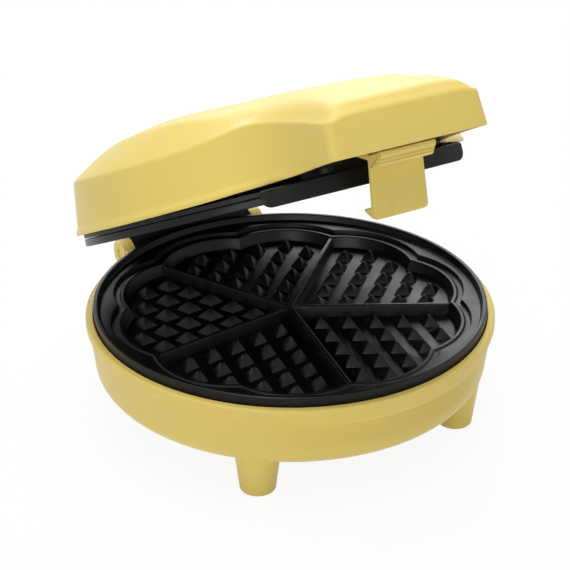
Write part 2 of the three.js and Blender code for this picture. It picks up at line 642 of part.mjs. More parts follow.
// The cut for the cavity, and the studs and dividers that stand on its floor
function heartRelief() {
  const floor = RING_TOP - CAVITY_DEPTH;
  const level = (out, z) => lobes(out).map(([x, y]) => new THREE.Vector3(x, y, z));
  const flat = (p) => new THREE.Vector2(p.x, p.y);
  const cavity = loft([level(-CAVITY_SLOPE, floor), level(0, RING_TOP), level(0, RIM_TOP)], flat);
  const trench = cut(
    prism(lobes(CHANNEL_OUTER), RING_TOP - CHANNEL_DEPTH, RIM_TOP),
    prism(lobes(CHANNEL_INNER), 0, RING_TOP - RIDGE_DROP),
  );
  const rises = [];
  for (let heart = 0; heart < HEARTS; heart += 1) {
    const start = rad(HEART_ANGLE + (heart * 360) / HEARTS);
    const end = start + (2 * Math.PI) / HEARTS;
    const along1 = [Math.cos(start), Math.sin(start)];
    const along2 = [Math.cos(end), Math.sin(end)];
    const bar = sidePrism([
      [-DIVIDER_WIDTH / 2, floor - PLATE_FLOOR / 2],
      [DIVIDER_WIDTH / 2, floor - PLATE_FLOOR / 2],
      [DIVIDER_TOP_WIDTH / 2, floor + DIVIDER_HEIGHT],
      [-DIVIDER_TOP_WIDTH / 2, floor + DIVIDER_HEIGHT],
    ], LOBE_REACH / 2);
    rises.push(bar.translate([LOBE_REACH / 2, 0, 0]).rotate([0, 0, HEART_ANGLE + (360 * heart) / HEARTS]));
    for (let i = 0; i < HEARTS; i += 1) {
      for (let k = 0; k < HEARTS; k += 1) {
        const [u, v] = [i + CELL_START_SHARE, k + CELL_START_SHARE].map((n) => n * CELL_PITCH);
        const spot = [u * along1[0] + v * along2[0], u * along1[1] + v * along2[1]];
        if (Math.hypot(...spot) < LOBE_REACH - CELL_PITCH * CELL_EDGE_SHARE) {
          rises.push(stud(spot, along1, along2, floor));
        }
      }
    }
  }
  const core = prism(lobes(-CAVITY_SLOPE / 2), PLATE_BOTTOM + PLATE_FLOOR / 2, RING_TOP);
  return { cuts: [trench, cavity], rises: join(...rises).intersect(core) };
}

const relief = heartRelief();

function makeLowerPlate() {
  const skirt = LIP_TOP - SKIRT_DEPTH;
  const blank = turned([
    [0, PLATE_BOTTOM], [CUP_RADIUS - PLATE_FLOOR, PLATE_BOTTOM], [CUP_RADIUS, skirt],
    [RIM_RADIUS, skirt], [RIM_RADIUS, RIM_TOP - RIM_ROUND], [RIM_RADIUS - RIM_ROUND, RIM_TOP],
    [RIM_RADIUS - RIM_WIDTH + RIM_ROUND / 2, RIM_TOP],
    [RIM_RADIUS - RIM_WIDTH, RIM_TOP - RIM_ROUND / 2],
    [RIM_RADIUS - RIM_WIDTH - RIM_SLOPE, RING_TOP], [0, RING_TOP],
  ]);
  let plate = join(cut(blank, ...relief.cuts), relief.rises,
    post(0, 0, PLATE_BOTTOM - REFLECTOR_DEPTH + FIT, PLATE_BOTTOM + PLATE_FLOOR / 2, BOSS_RADIUS));
  plate = cut(plate, post(0, 0, 0, PLATE_BOTTOM + PLATE_FLOOR / 2, SCREW_RADIUS + FIT));
  for (const place of PLATE_SCREW_PLACES) {
    const [x, y] = notch(place, PLATE_SCREW_MIDDLE);
    plate = cut(plate, post(x, y, 0, PLATE_BOTTOM + SCREW_GRIP, SCREW_RADIUS + FIT));
  }
  return plate;
}

function makeUpperPlate() {
  const toUpper = (z) => RING_TOP - (z - UPPER_RING);
  const top = toUpper(UPPER_RING + UPPER_RIM_HEIGHT);
  const blank = turned([
    [0, PLATE_BOTTOM], [CUP_RADIUS - 2 * PLATE_FLOOR, PLATE_BOTTOM], [CUP_RADIUS - PLATE_FLOOR, top],
    [UPPER_RIM_RADIUS, top], [UPPER_RIM_RADIUS, RING_TOP - RIM_ROUND],
    [UPPER_RIM_RADIUS - RIM_ROUND, RING_TOP], [0, RING_TOP],
  ]);
  let plate = join(cut(blank, ...relief.cuts), relief.rises,
    post(0, 0, PLATE_BOTTOM - REFLECTOR_DEPTH + FIT, PLATE_BOTTOM + PLATE_FLOOR / 2, BOSS_RADIUS));
  plate = cut(plate, post(0, 0, 0, PLATE_BOTTOM + PLATE_FLOOR / 2, SCREW_RADIUS + FIT));
  for (const place of PLATE_SCREW_PLACES) {
    const [x, y] = notch(place, PLATE_SCREW_MIDDLE);
    plate = cut(plate, post(x, y, 0, PLATE_BOTTOM + SCREW_GRIP, SCREW_RADIUS + FIT));
  }
  return overTurned(plate);
}

// Lower-plate work turned over into the lid, about the plane between the plates
function overTurned(piece) {
  return piece.mirror([0, 0, 1]).translate([0, 0, RING_TOP + UPPER_RING]);
}

// Heating parts, drawn under the lower plate

const HEATER_Z = PLATE_BOTTOM - FIT - HEATER_RADIUS;
const REFLECTOR_FLOOR = PLATE_BOTTOM - REFLECTOR_DEPTH;

function makeHeater() {
  const half = Math.asin(HEATER_GAP / 2 / HEATER_MIDDLE);
  const from = Math.PI / 2 + half;
  const to = Math.PI / 2 + 2 * Math.PI - half;
  const points = Array.from({ length: HEATER_STEPS + 1 }, (_, i) => {
    const a = lerp(from, to, i / HEATER_STEPS);
    return [HEATER_MIDDLE * Math.cos(a), HEATER_MIDDLE * Math.sin(a), HEATER_Z];
  });
  const legs = [points[0], points[HEATER_STEPS]].map(([x, y]) => join(
    post(x, y, HEATER_Z - HEATER_LEG, HEATER_Z, HEATER_RADIUS),
    post(x, y, HEATER_Z - HEATER_LEG - HEATER_PIN, HEATER_Z, HEATER_PIN_RADIUS,
      HEATER_PIN_RADIUS, HEATER_FACETS),
  ));
  return join(tube(points, HEATER_RADIUS, HEATER_STEPS, HEATER_FACETS), ...legs);
}

function heaterEnds() {
  const y = Math.sqrt(HEATER_MIDDLE ** 2 - (HEATER_GAP / 2) ** 2);
  return [[-HEATER_GAP / 2, y], [HEATER_GAP / 2, y]];
}

function makeReflector() {
  const sheet = REFLECTOR_SHEET;
  const rim = PLATE_BOTTOM - FIT;
  const inner = REFLECTOR_RADIUS - REFLECTOR_RIM;
  const dish = turned([
    [0, REFLECTOR_FLOOR - sheet], [REFLECTOR_FLAT, REFLECTOR_FLOOR - sheet],
    [inner + sheet, rim - sheet], [REFLECTOR_RADIUS, rim - sheet], [REFLECTOR_RADIUS, rim],
    [inner, rim], [REFLECTOR_FLAT - sheet, REFLECTOR_FLOOR], [0, REFLECTOR_FLOOR],
  ], REFLECTOR_ROUND);
  const holes = heaterEnds().map(([x, y]) => post(x, y, 0, rim, HEATER_RADIUS + 2 * FIT));
  return cut(dish, ...holes, post(0, 0, 0, rim, SCREW_RADIUS + FIT));
}

function makeReflectorScrew() {
  const head = REFLECTOR_FLOOR - REFLECTOR_SHEET - FIT / 2;
  return join(
    post(0, 0, head - SCREW_HEAD, head, REFLECTOR_SCREW_RADIUS, REFLECTOR_SCREW_RADIUS, 6),
    post(0, 0, head - SCREW_HEAD / 2, PLATE_BOTTOM, SCREW_RADIUS),
  );
}

// Lid shell

// Height of the plateau over one place along the lid
const plateau = (y) => LID_EDGE + lerp(NOSE_RISE, CREST_RISE, along(PLATEAU_SHARES, y / HANDLE_REACH));

// How far it bulges there, between its ridges
const crown = (y) => CROWN_RISE * along(CROWN_SHARES, y / HANDLE_REACH);

// Half width of the plateau there
function plateauHalf(y) {
  const [start, end] = FLARE_SHARES;
  const share = THREE.MathUtils.clamp((start - y / HANDLE_REACH) / (start - end), 0, 1);
  return PLATEAU_HALF + PLATEAU_FLARE * share ** 2;
}

// Height of the plateau's surface at one point
const plateauTop = (x, y) => plateau(y) + crown(y) * (1 - (x / plateauHalf(y)) ** CROWN_POWER);

// Outline of the lid at one level: [x, y] points down its right side, from the rear to the nose
function lidOutline(radius, half, reach) {
  const points = arc(0, 0, radius, REAR_ANGLE, HANDLE_START_ANGLE, SIDE_ROWS);
  const [x, y] = points[points.length - 1];
  const sideEnd = HANDLE_CORNER - reach;
  const bend = SIDE_SWEEP_SHARES.map(([i, k]) =>
    new THREE.Vector2(lerp(x, half, i), lerp(y, sideEnd, k)));
  const sweep = new THREE.CubicBezierCurve(
    new THREE.Vector2(x, y), ...bend, new THREE.Vector2(half, sideEnd));
  points.push(...sweep.getPoints(BLEND_ROWS).slice(1).map((p) => [p.x, p.y]));
  points.push(...arc(half - HANDLE_CORNER, sideEnd, HANDLE_CORNER, 0, -90, CORNER_ROWS).slice(1));
  return points;
}

// The lid as a full body; inset gives the body of its hollow
function lidBody(inset) {
  const handleHalf = HANDLE_HALF - inset;
  const reach = HANDLE_REACH - inset;
  const low = lidOutline(LID_RADIUS + LID_BEAD - inset, handleHalf, reach);
  const bead = lidOutline(LID_RADIUS - inset, handleHalf, reach);
  const high = lidOutline(LID_TOP_RADIUS - inset, handleHalf - HANDLE_TAPER, reach);
  const rows = high.map(([x, y], i) => {
    const place = y / HANDLE_REACH;
    const ridge = plateau(y) - inset;
    const lift = inset > 0 ? -OVERRUN : HANDLE_LIFT * along(LIFT_SHARES, low[i][1] / HANDLE_REACH);
    const bottom = LID_EDGE + lift;
    const edge = Math.min(ridge - EDGE_ROUND,
      LID_EDGE + lerp(EDGE_RISE, SHOULDER_RISE, along(EDGE_SHARES, place)) - inset);
    const half = Math.min(plateauHalf(y), x * PLATEAU_WIDTH_SHARE);
    const [rise, turn] = FACET_BULGE_SHARES;
    const facet = FACET_SHARES.map((t) => [
      lerp(half, x, t), y, lerp(edge, ridge, (1 - t ** rise) ** turn)]);
    const across = CROSS_SHARES.map((t) => [half * t, y, ridge + crown(y) * (1 - t ** CROWN_POWER)]);
    const side = [
      [low[i][0], low[i][1], bottom], [bead[i][0], bead[i][1], bottom + LID_BEAD_HEIGHT],
      [x, y, edge], ...facet, [half, y, ridge], ...across,
    ];
    const mirrored = side.map(([sx, sy, sz]) => [-sx, sy, sz]).reverse();
    return [...side, [0, y, ridge + crown(y)], ...mirrored]
      .map((p) => new THREE.Vector3(...p));
  });
  return loft(rows, (p) => new THREE.Vector2(p.x, p.z));
}

const frontScrewX = COWL_HALF - SHELF_WIDTH / 2;
const frontScrewY = -COWL_RADIUS - SHELF_REACH / 2;
const rearScrewX = EAR_INNER * REAR_SCREW_SHARE;
const rearScrewZ = HINGE_Z + BLOCK_HEIGHT - BOSS_RADIUS;
const rearBossY = HINGE_Y - BLOCK_REACH - FIT - BOSS_RADIUS;
const SHELF_TOP = FRAME_TOP + SHELF_LIFT + FRAME_THICKNESS;

function makeLidShell() {
  const body = lidBody(0);
  let shell = cut(body, lidBody(LID_WALL));
  for (const side of [-1, 1]) {
    const front = post(side * frontScrewX, frontScrewY, SHELF_TOP + FIT, LID_EDGE + CREST_RISE,
      BOSS_RADIUS);
    const rear = post(side * rearScrewX, rearBossY, FRAME_TOP + FIT, LID_EDGE + CREST_RISE * 2,
      BOSS_RADIUS);
    shell = join(shell, front.intersect(body), rear.intersect(body));
    shell = cut(shell,
      post(side * frontScrewX, frontScrewY, SHELF_TOP - OVERRUN, SHELF_TOP + SCREW_GRIP,
        SCREW_RADIUS + FIT),
      foreRod(side * rearScrewX, rearScrewZ, rearBossY - BOSS_RADIUS - OVERRUN, HINGE_Y,
        SCREW_RADIUS + FIT));
    shell = cut(shell, post(side * LENS_SPREAD, LENS_Y, LID_EDGE + EDGE_RISE,
      LID_EDGE + CREST_RISE * 2, LENS_RADIUS + FIT));
  }
  const notchTop = HINGE_Z + BLOCK_HEIGHT + FIT;
  return cut(shell, box(-EAR_INNER - FIT, EAR_INNER + FIT, HINGE_Y - BLOCK_REACH - FIT, HINGE_Y,
    LID_EDGE - OVERRUN, notchTop));
}

// Lid inner frame

function makeLidFrame() {
  const apronBottom = LIP_TOP + APRON_GAP;
  const low = [
    ...arc(-APRON_HALF + APRON_CORNER, apronBottom + APRON_CORNER, APRON_CORNER, 180, 270, CORNER_STEPS),
    ...arc(APRON_HALF - APRON_CORNER, apronBottom + APRON_CORNER, APRON_CORNER, 270, 360, CORNER_STEPS),
    [APRON_HALF, LID_EDGE - FIT], [APRON_TOP_HALF, LID_EDGE - FIT],
    [APRON_TOP_HALF, FRAME_TOP], [-APRON_TOP_HALF, FRAME_TOP],
    [-APRON_TOP_HALF, LID_EDGE - FIT], [-APRON_HALF, LID_EDGE - FIT],
  ];
  const apronZone = frontPrism(low, -APRON_RADIUS - OVERRUN, -FRAME_INNER / 2);
  const apron = ring(APRON_INNER, APRON_RADIUS, apronBottom, FRAME_TOP).intersect(apronZone);
  const bridge = ring(FRAME_INNER, APRON_RADIUS - FIT, FRAME_BOTTOM, FRAME_TOP).intersect(
    box(-APRON_TOP_HALF, APRON_TOP_HALF, -APRON_RADIUS, -FRAME_INNER / 2, FRAME_BOTTOM, FRAME_TOP));
  const cowl = ring(COWL_RADIUS - COWL_THICKNESS, COWL_RADIUS, FRAME_BOTTOM, FRAME_TOP + COWL_HEIGHT)
    .intersect(box(-COWL_HALF, COWL_HALF, -APRON_RADIUS, -FRAME_INNER / 2, FRAME_BOTTOM,
      FRAME_TOP + COWL_HEIGHT));
  const hoop = ring(FRAME_INNER, LID_RADIUS - LID_WALL - FIT, FRAME_BOTTOM, FRAME_TOP);
  let frame = join(hoop, apron, bridge, cowl);
  for (const side of [-1, 1]) {
    const inner = PAD_HALF + FIT;
    const [x0, x1] = [side * inner, side * (inner + CHEEK_THICKNESS)].sort((a, b) => a - b);
    const cheek = join(
      crossRod(x0, x1, LATCH_PIVOT_Y, LATCH_PIVOT_Z, CHEEK_RADIUS),
      box(x0, x1, LATCH_PIVOT_Y, -COWL_RADIUS + COWL_THICKNESS, LATCH_PIVOT_Z - CHEEK_RADIUS,
        LATCH_PIVOT_Z + CHEEK_RADIUS / 2),
    );
    const [s0, s1] = [side * (COWL_HALF - SHELF_WIDTH), side * COWL_HALF].sort((a, b) => a - b);
    const shelf = box(s0, s1, -COWL_RADIUS - SHELF_REACH, -COWL_RADIUS + 2 * COWL_THICKNESS + BOSS_RADIUS,
      SHELF_TOP - FRAME_THICKNESS, SHELF_TOP);
    frame = join(frame, cheek, shelf);
    frame = cut(frame, post(side * frontScrewX, frontScrewY, FRAME_TOP - OVERRUN,
      SHELF_TOP + OVERRUN, SCREW_RADIUS + FIT));
  }
  frame = cut(frame, crossRod(-COWL_HALF, COWL_HALF, LATCH_PIVOT_Y, LATCH_PIVOT_Z,
    LATCH_PIN_RADIUS + FIT / 2));
  // tabs over the upper plate
  for (const place of PLATE_SCREW_PLACES) {
    const tabTop = UPPER_BACK + FIT + FRAME_THICKNESS;
    const outer = FRAME_INNER + FRAME_THICKNESS / 2;
    const shape = join(
      box(outer - FRAME_THICKNESS, outer, -TAB_WIDTH / 2, TAB_WIDTH / 2, FRAME_BOTTOM, tabTop),
      box(outer - TAB_REACH, outer, -TAB_WIDTH / 2, TAB_WIDTH / 2, tabTop - FRAME_THICKNESS, tabTop),
    );
    const turn = HEART_ANGLE + (place * 180) / HEARTS;
    const [x, y] = notch(place, PLATE_SCREW_MIDDLE);
    frame = join(frame, shape.rotate([0, 0, turn]));
    frame = cut(frame, post(x, y, UPPER_BACK - OVERRUN, tabTop + OVERRUN, SCREW_RADIUS + FIT));
  }
  // hinge block between the base's ears
  const half = EAR_INNER - FIT;
  const front = LIP_RADIUS + FIT;
  const block = sidePrism([
    [front, HINGE_Z], [front, FRAME_BOTTOM], [HINGE_Y - BLOCK_REACH, FRAME_BOTTOM],
    [HINGE_Y - BLOCK_REACH, HINGE_Z + BLOCK_HEIGHT], [HINGE_Y, HINGE_Z + BLOCK_HEIGHT],
    [HINGE_Y + BLOCK_REAR, HINGE_Z + BLOCK_HEIGHT - BLOCK_REAR / 2], [HINGE_Y + BLOCK_REAR, HINGE_Z],
  ], half);
  const barrel = crossRod(-half, half, HINGE_Y, HINGE_Z, BARREL_RADIUS, MID_ROUND);
  frame = join(frame, block, barrel);
  for (const side of [-1, 1]) {
    const pinEnd = side * (EAR_INNER + EAR_THICKNESS - PIN_LENGTH - FIT);
    const [p0, p1] = [pinEnd, side * (EAR_INNER + OVERRUN)].sort((a, b) => a - b);
    frame = cut(frame,
      crossRod(p0, p1, HINGE_Y, HINGE_Z, PIN_RADIUS + FIT),
      foreRod(side * rearScrewX, rearScrewZ, HINGE_Y - BLOCK_REACH - OVERRUN, HINGE_Y + 2 * BLOCK_REAR,
        SCREW_RADIUS + FIT),
      foreRod(side * rearScrewX, rearScrewZ, HINGE_Y, HINGE_Y + 2 * BLOCK_REAR,
        SCREW_HEAD_RADIUS + FIT));
  }
  return frame;
}

// Latch

function makeLatch() {
  const face = -LATCH_FACE;
  const back = face + LATCH_THICKNESS;
  const hookBottom = HOOK_TOP - HOOK_HEIGHT;
  const eye = LATCH_EYE_RADIUS;
  const hookRoot = back + LATCH_LEAN;
  const hookEnd = hookRoot + HOOK_REACH;
  const blade = sidePrism([
    [face + LATCH_LEAN, hookBottom], [hookRoot, hookBottom], [hookEnd, HOOK_TOP - HOOK_TIP],
    [hookEnd, HOOK_TOP], [hookRoot, HOOK_TOP], [back, PAD_TOP - LATCH_THICKNESS],
    [LATCH_PIVOT_Y - eye / 3, LATCH_PIVOT_Z - eye], [LATCH_PIVOT_Y, LATCH_PIVOT_Z + eye / 2],
    [LATCH_PIVOT_Y - eye, LATCH_PIVOT_Z + eye / 3], [face, PAD_TOP],
  ], LATCH_HALF);
  const tall = LATCH_PIVOT_Z + 2 * eye;
  const outline = frontPrism([
    ...arc(-LATCH_HALF + LATCH_CORNER, hookBottom + LATCH_CORNER, LATCH_CORNER, 180, 270, CORNER_STEPS),
    ...arc(LATCH_HALF - LATCH_CORNER, hookBottom + LATCH_CORNER, LATCH_CORNER, 270, 360, CORNER_STEPS),
    [LATCH_HALF, tall], [-LATCH_HALF, tall],
  ], face - OVERRUN, LATCH_PIVOT_Y + 2 * eye);
  const pad = sidePrism([
    [face + LATCH_THICKNESS / 2, PAD_TOP - PAD_HEIGHT],
    [face - PAD_REACH + PAD_CHAMFER, PAD_TOP - PAD_HEIGHT],
    [face - PAD_REACH, PAD_TOP - PAD_HEIGHT + PAD_CHAMFER], [face - PAD_REACH, PAD_TOP],
    [face + LATCH_THICKNESS / 2, PAD_TOP],
  ], PAD_HALF);
  const eyeRod = crossRod(-LATCH_HALF, LATCH_HALF, LATCH_PIVOT_Y, LATCH_PIVOT_Z, eye);
  const grooves = GROOVE_SHARES.map((share) => {
    const z = PAD_TOP - PAD_HEIGHT + PAD_CHAMFER * share;
    const y = face - PAD_REACH + PAD_CHAMFER * (1 - share);
    return crossRod(-PAD_HALF - OVERRUN, PAD_HALF + OVERRUN, y, z, PAD_GROOVE, 8);
  });
  return cut(join(blade.intersect(outline), pad, eyeRod), ...grooves,
    crossRod(-PAD_HALF - OVERRUN, PAD_HALF + OVERRUN, LATCH_PIVOT_Y, LATCH_PIVOT_Z,
      LATCH_PIN_RADIUS + FIT / 2));
}

// Small pieces

function makeGland() {
  const body = join(
    foreRod(0, GLAND_HEIGHT, FLOOR_RADIUS + OVERRUN, GLAND_SEAT + GLAND_FLANGE, GLAND_RADIUS,
      MID_ROUND),
    foreRod(0, GLAND_HEIGHT, GLAND_SEAT + FIT, GLAND_SEAT + FIT + GLAND_FLANGE,
      GLAND_FLANGE_RADIUS, MID_ROUND),
  );
  return cut(body, foreRod(0, GLAND_HEIGHT, 0, LIP_RADIUS + OVERRUN, GLAND_BORE));
}

const terminalFloor = FLOOR_HEIGHT + BASE_WALL + FIT;

function makeTerminalBlock() {
  let block = box(-TERMINAL_WIDTH / 2, TERMINAL_WIDTH / 2, TERMINAL_Y - TERMINAL_DEPTH / 2,
    TERMINAL_Y + TERMINAL_DEPTH / 2, terminalFloor, terminalFloor + TERMINAL_HEIGHT);
  for (const side of [-1, 1]) {
    block = cut(block, post(side * TERMINAL_WIDTH / 4, TERMINAL_Y, terminalFloor + TERMINAL_HEIGHT / 2,
      terminalFloor + TERMINAL_HEIGHT + OVERRUN, TERMINAL_DEPTH / 4));
  }
  return block;
}

// A lead from a heater end down to the terminal block
function makeLead(side) {
  const [x, y] = heaterEnds()[side < 0 ? 0 : 1];
  const top = HEATER_Z - HEATER_LEG - HEATER_PIN - 2 * FIT;
  const end = [side * TERMINAL_WIDTH / 4, TERMINAL_Y - TERMINAL_DEPTH / 2 - FIT,
    terminalFloor + TERMINAL_HEIGHT / 2];
  const [far, near] = LEAD_SHARES;
  return tube([
    [x, y, top], [x, y, lerp(top, end[2], far)],
    [lerp(x, end[0], far), lerp(y, end[1], near), end[2]], end,
  ], LEAD_RADIUS, LEAD_STEPS, LEAD_FACETS);
}

function makeLens(side) {
  const x = side * LENS_SPREAD;
  const top = plateauTop(x, LENS_Y) + LENS_PROUD;
  const length = 3 * LID_WALL;
  return join(
    post(x, LENS_Y, top - length, top - LENS_PROUD, LENS_RADIUS),
    post(x, LENS_Y, top - LENS_PROUD, top, LENS_RADIUS, LENS_RADIUS / 2),
  );
}

function makeLamp(side) {
  const x = side * LENS_SPREAD;
  const top = plateauTop(x, LENS_Y) + LENS_PROUD - 3 * LID_WALL - FIT;
  return join(
    post(x, LENS_Y, top - LAMP_LENGTH, top - LAMP_RADIUS, LAMP_RADIUS),
    post(x, LENS_Y, top - LAMP_RADIUS, top, LAMP_RADIUS, LAMP_RADIUS / 2),
  );
}

// Assembly

const model = new THREE.Group();
const lid = new THREE.Group();
const latchGroup = new THREE.Group();
model.add(lid);
lid.add(latchGroup);
lid.position.set(0, HINGE_Y, HINGE_Z);
lid.rotation.x = rad(-REST_ANGLE);

const base = (name, piece, material) => model.add(mesh(name, piece, material));
const onLid = (name, piece, material) => lid.add(mesh(name, piece, material, toHinge));

base("base_shell", makeBaseShell(), yellowPlastic());
base("lower_plate", makeLowerPlate(), coatedMetal());
base("lower_heater", makeHeater(), bareSteel());
base("lower_reflector", makeReflector(), dullMetal());
base("lower_reflector_screw", makeReflectorScrew(), bareSteel());
for (const { name, x, y } of feet) {
  base(`foot_pad_${name}`, post(x, y, 0, PAD_THICKNESS, PAD_RADIUS, PAD_RADIUS, MID_ROUND),
    greyRubber());
}
PLATE_SCREW_PLACES.forEach((place, i) => {
  const [x, y] = notch(place, PLATE_SCREW_MIDDLE);
  const head = WELL_TOP - SCREW_HEAD - FIT / 2;
  base(`base_screw_${i + 1}`, screw(x, y, head, SCREW_HEAD + 2 * SCREW_GRIP - FIT), bareSteel());
});
for (const [side, name] of [[-1, "left"], [1, "right"]]) {
  const outer = side * (EAR_INNER + EAR_THICKNESS - FIT);
  const [x0, x1] = [outer, outer - side * PIN_LENGTH].sort((a, b) => a - b);
  base(`hinge_pin_${name}`, crossRod(x0, x1, HINGE_Y, HINGE_Z, PIN_RADIUS), bareSteel());
  base(`lower_lead_${name}`, makeLead(side), greyCable());
}
base("cord_gland", makeGland(), blackPlastic());
base("terminal_block", makeTerminalBlock(), ivoryPlastic());

onLid("lid_shell", makeLidShell(), yellowPlastic());
onLid("lid_frame", makeLidFrame(), blackPlastic());
onLid("upper_plate", makeUpperPlate(), coatedMetal());
onLid("upper_heater", overTurned(makeHeater()), bareSteel());
onLid("upper_reflector", overTurned(makeReflector()), dullMetal());
onLid("upper_reflector_screw", overTurned(makeReflectorScrew()), bareSteel());
const reflectorTop = UPPER_BACK + REFLECTOR_DEPTH + REFLECTOR_SHEET + FIT;
onLid("thermostat", join(
  post(HEATER_MIDDLE / 2, 0, reflectorTop, reflectorTop + THERMOSTAT_HEIGHT, THERMOSTAT_RADIUS,
    THERMOSTAT_RADIUS, MID_ROUND),
  post(HEATER_MIDDLE / 2, 0, reflectorTop, reflectorTop + THERMOSTAT_HEIGHT + THERMOSTAT_RADIUS / 2,
    THERMOSTAT_RADIUS / 2),
), ivoryPlastic());
onLid("thermal_fuse", foreRod(-HEATER_MIDDLE / 2, reflectorTop + FUSE_RADIUS, -FUSE_LENGTH / 2,
  FUSE_LENGTH / 2, FUSE_RADIUS), dullMetal());
PLATE_SCREW_PLACES.forEach((place, i) => {
  const [x, y] = notch(place, PLATE_SCREW_MIDDLE);
  const head = UPPER_BACK + FIT + FRAME_THICKNESS + FIT / 2 + SCREW_HEAD;
  onLid(`plate_screw_${i + 1}`, screw(x, y, head, SCREW_HEAD + FRAME_THICKNESS + SCREW_GRIP - FIT, true),
    bareSteel());
});
for (const [side, name] of [[-1, "left"], [1, "right"]]) {
  onLid(`lid_front_screw_${name}`, screw(side * frontScrewX, frontScrewY,
    SHELF_TOP - FRAME_THICKNESS - FIT / 2 - SCREW_HEAD, SCREW_HEAD + FRAME_THICKNESS + SCREW_GRIP - FIT),
  bareSteel());
  const headFront = HINGE_Y + FIT / 2;
  onLid(`lid_rear_screw_${name}`, join(
    foreRod(side * rearScrewX, rearScrewZ, headFront, headFront + SCREW_HEAD, SCREW_HEAD_RADIUS),
    foreRod(side * rearScrewX, rearScrewZ, rearBossY - BOSS_RADIUS / 2, headFront + SCREW_HEAD / 2,
      SCREW_RADIUS),
  ), bareSteel());
}
onLid("power_lens", makeLens(-1), redLens());
onLid("ready_lens", makeLens(1), greenLens());
onLid("power_lamp", makeLamp(-1), ivoryPlastic());
onLid("ready_lamp", makeLamp(1), ivoryPlastic());
onLid("latch_pin", crossRod(-PAD_HALF - CHEEK_THICKNESS, PAD_HALF + CHEEK_THICKNESS, LATCH_PIVOT_Y,
  LATCH_PIVOT_Z, LATCH_PIN_RADIUS), bareSteel());

latchGroup.position.set(0, LATCH_PIVOT_Y - HINGE_Y, LATCH_PIVOT_Z - HINGE_Z);
latchGroup.add(mesh("latch", makeLatch(), yellowPlastic(), [0, -LATCH_PIVOT_Y, -LATCH_PIVOT_Z]));

const extent = new THREE.Box3().setFromObject(model, true);
model.position.y = -(extent.min.y + extent.max.y) / 2;
const whole = new THREE.Group();
whole.add(model);

export default whole;
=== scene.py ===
"""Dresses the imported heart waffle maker: finer shell, lid and plates, and procedural finishes."""

import json
import math

import bmesh
import bpy
from mathutils import Matrix, Vector


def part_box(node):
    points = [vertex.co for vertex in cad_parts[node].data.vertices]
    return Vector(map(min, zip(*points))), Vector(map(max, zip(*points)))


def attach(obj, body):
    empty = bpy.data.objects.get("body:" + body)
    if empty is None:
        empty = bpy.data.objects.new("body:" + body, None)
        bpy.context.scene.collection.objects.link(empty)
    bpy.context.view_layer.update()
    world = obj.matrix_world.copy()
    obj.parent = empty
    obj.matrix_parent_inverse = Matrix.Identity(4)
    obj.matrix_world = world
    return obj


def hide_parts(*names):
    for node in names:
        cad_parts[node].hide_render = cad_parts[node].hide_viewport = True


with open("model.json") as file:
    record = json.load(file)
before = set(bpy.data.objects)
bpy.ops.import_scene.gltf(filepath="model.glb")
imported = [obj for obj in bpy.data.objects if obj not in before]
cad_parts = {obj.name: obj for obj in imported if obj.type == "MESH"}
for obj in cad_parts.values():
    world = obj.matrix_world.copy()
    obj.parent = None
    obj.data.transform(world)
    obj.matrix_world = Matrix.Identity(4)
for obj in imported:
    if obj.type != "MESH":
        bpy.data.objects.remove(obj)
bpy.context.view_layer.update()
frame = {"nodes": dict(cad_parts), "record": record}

# Sizes in millimetres, drawn as the part's source is: round the middle of the base, the lid closed
FIT = 0.4
RIM_RADIUS = 103.5
LIP_TOP = 55.8
LIP_RADIUS = RIM_RADIUS + 4.3
POCKET_RADIUS = RIM_RADIUS + FIT
WALL_TOP_RADIUS = LIP_RADIUS - 1.4
WALL_LOW_RADIUS = WALL_TOP_RADIUS - 2.4
WALL_LOW = 31.0
FLOOR_RADIUS = WALL_LOW_RADIUS - 26.5
FLOOR_HEIGHT = 17.2
BAND_DEPTH = 5.0
FRONT_BAND_DEPTH = 9.3
BAND_BOTTOM = LIP_TOP - FRONT_BAND_DEPTH
BASE_WALL = 2.4
PLATE_SEAT = 3.0
SHELL_FACETS = 240

# The scoop under the latch; its full width and its ends are degrees from the front
SCOOP_DEPTH = 4.6
SCOOP_DROP = 15.0
SCOOP_FULL = 20
SCOOP_END = 43
SCOOP_CURVE = 0.7

FOOT_MIDDLE = WALL_LOW_RADIUS - 12.9
FOOT_ANGLE = math.radians(48.8)
FOOT_LOW = 0.7
FOOT_LOW_RADIUS = 9.0
FOOT_TOP_RADIUS = 12.6
FOOT_ROUND = 1.3
FOOT_INSET = 0.9
FOOT_SINK = 1.2
PAD_POCKET_TOP = 2.8
PAD_POCKET_RADIUS = 6.4

HINGE_Y = LIP_RADIUS + 4.8
HINGE_Z = LIP_TOP - 7.0
EAR_INNER = 38.5
EAR_THICKNESS = 6.7
EAR_RADIUS = 8.0
EAR_ROOT = 17.0
EAR_TOP = LIP_TOP - 1.3
BARREL_RADIUS = 6.0
PIN_RADIUS = 2.6

GLAND_HEIGHT = 31.0
GLAND_ROOT = 1.4
GLAND_SEAT_LENGTH = 1.8 + GLAND_ROOT
GLAND_SEAT_RADIUS = 8.4
GLAND_BORE = 6.0

SLOTS = 10
SLOT_RING = FLOOR_RADIUS - 29.5
SLOT_LENGTH = 18.0
SLOT_WIDTH = 3.4
SLOT_HEIGHT = 9.6

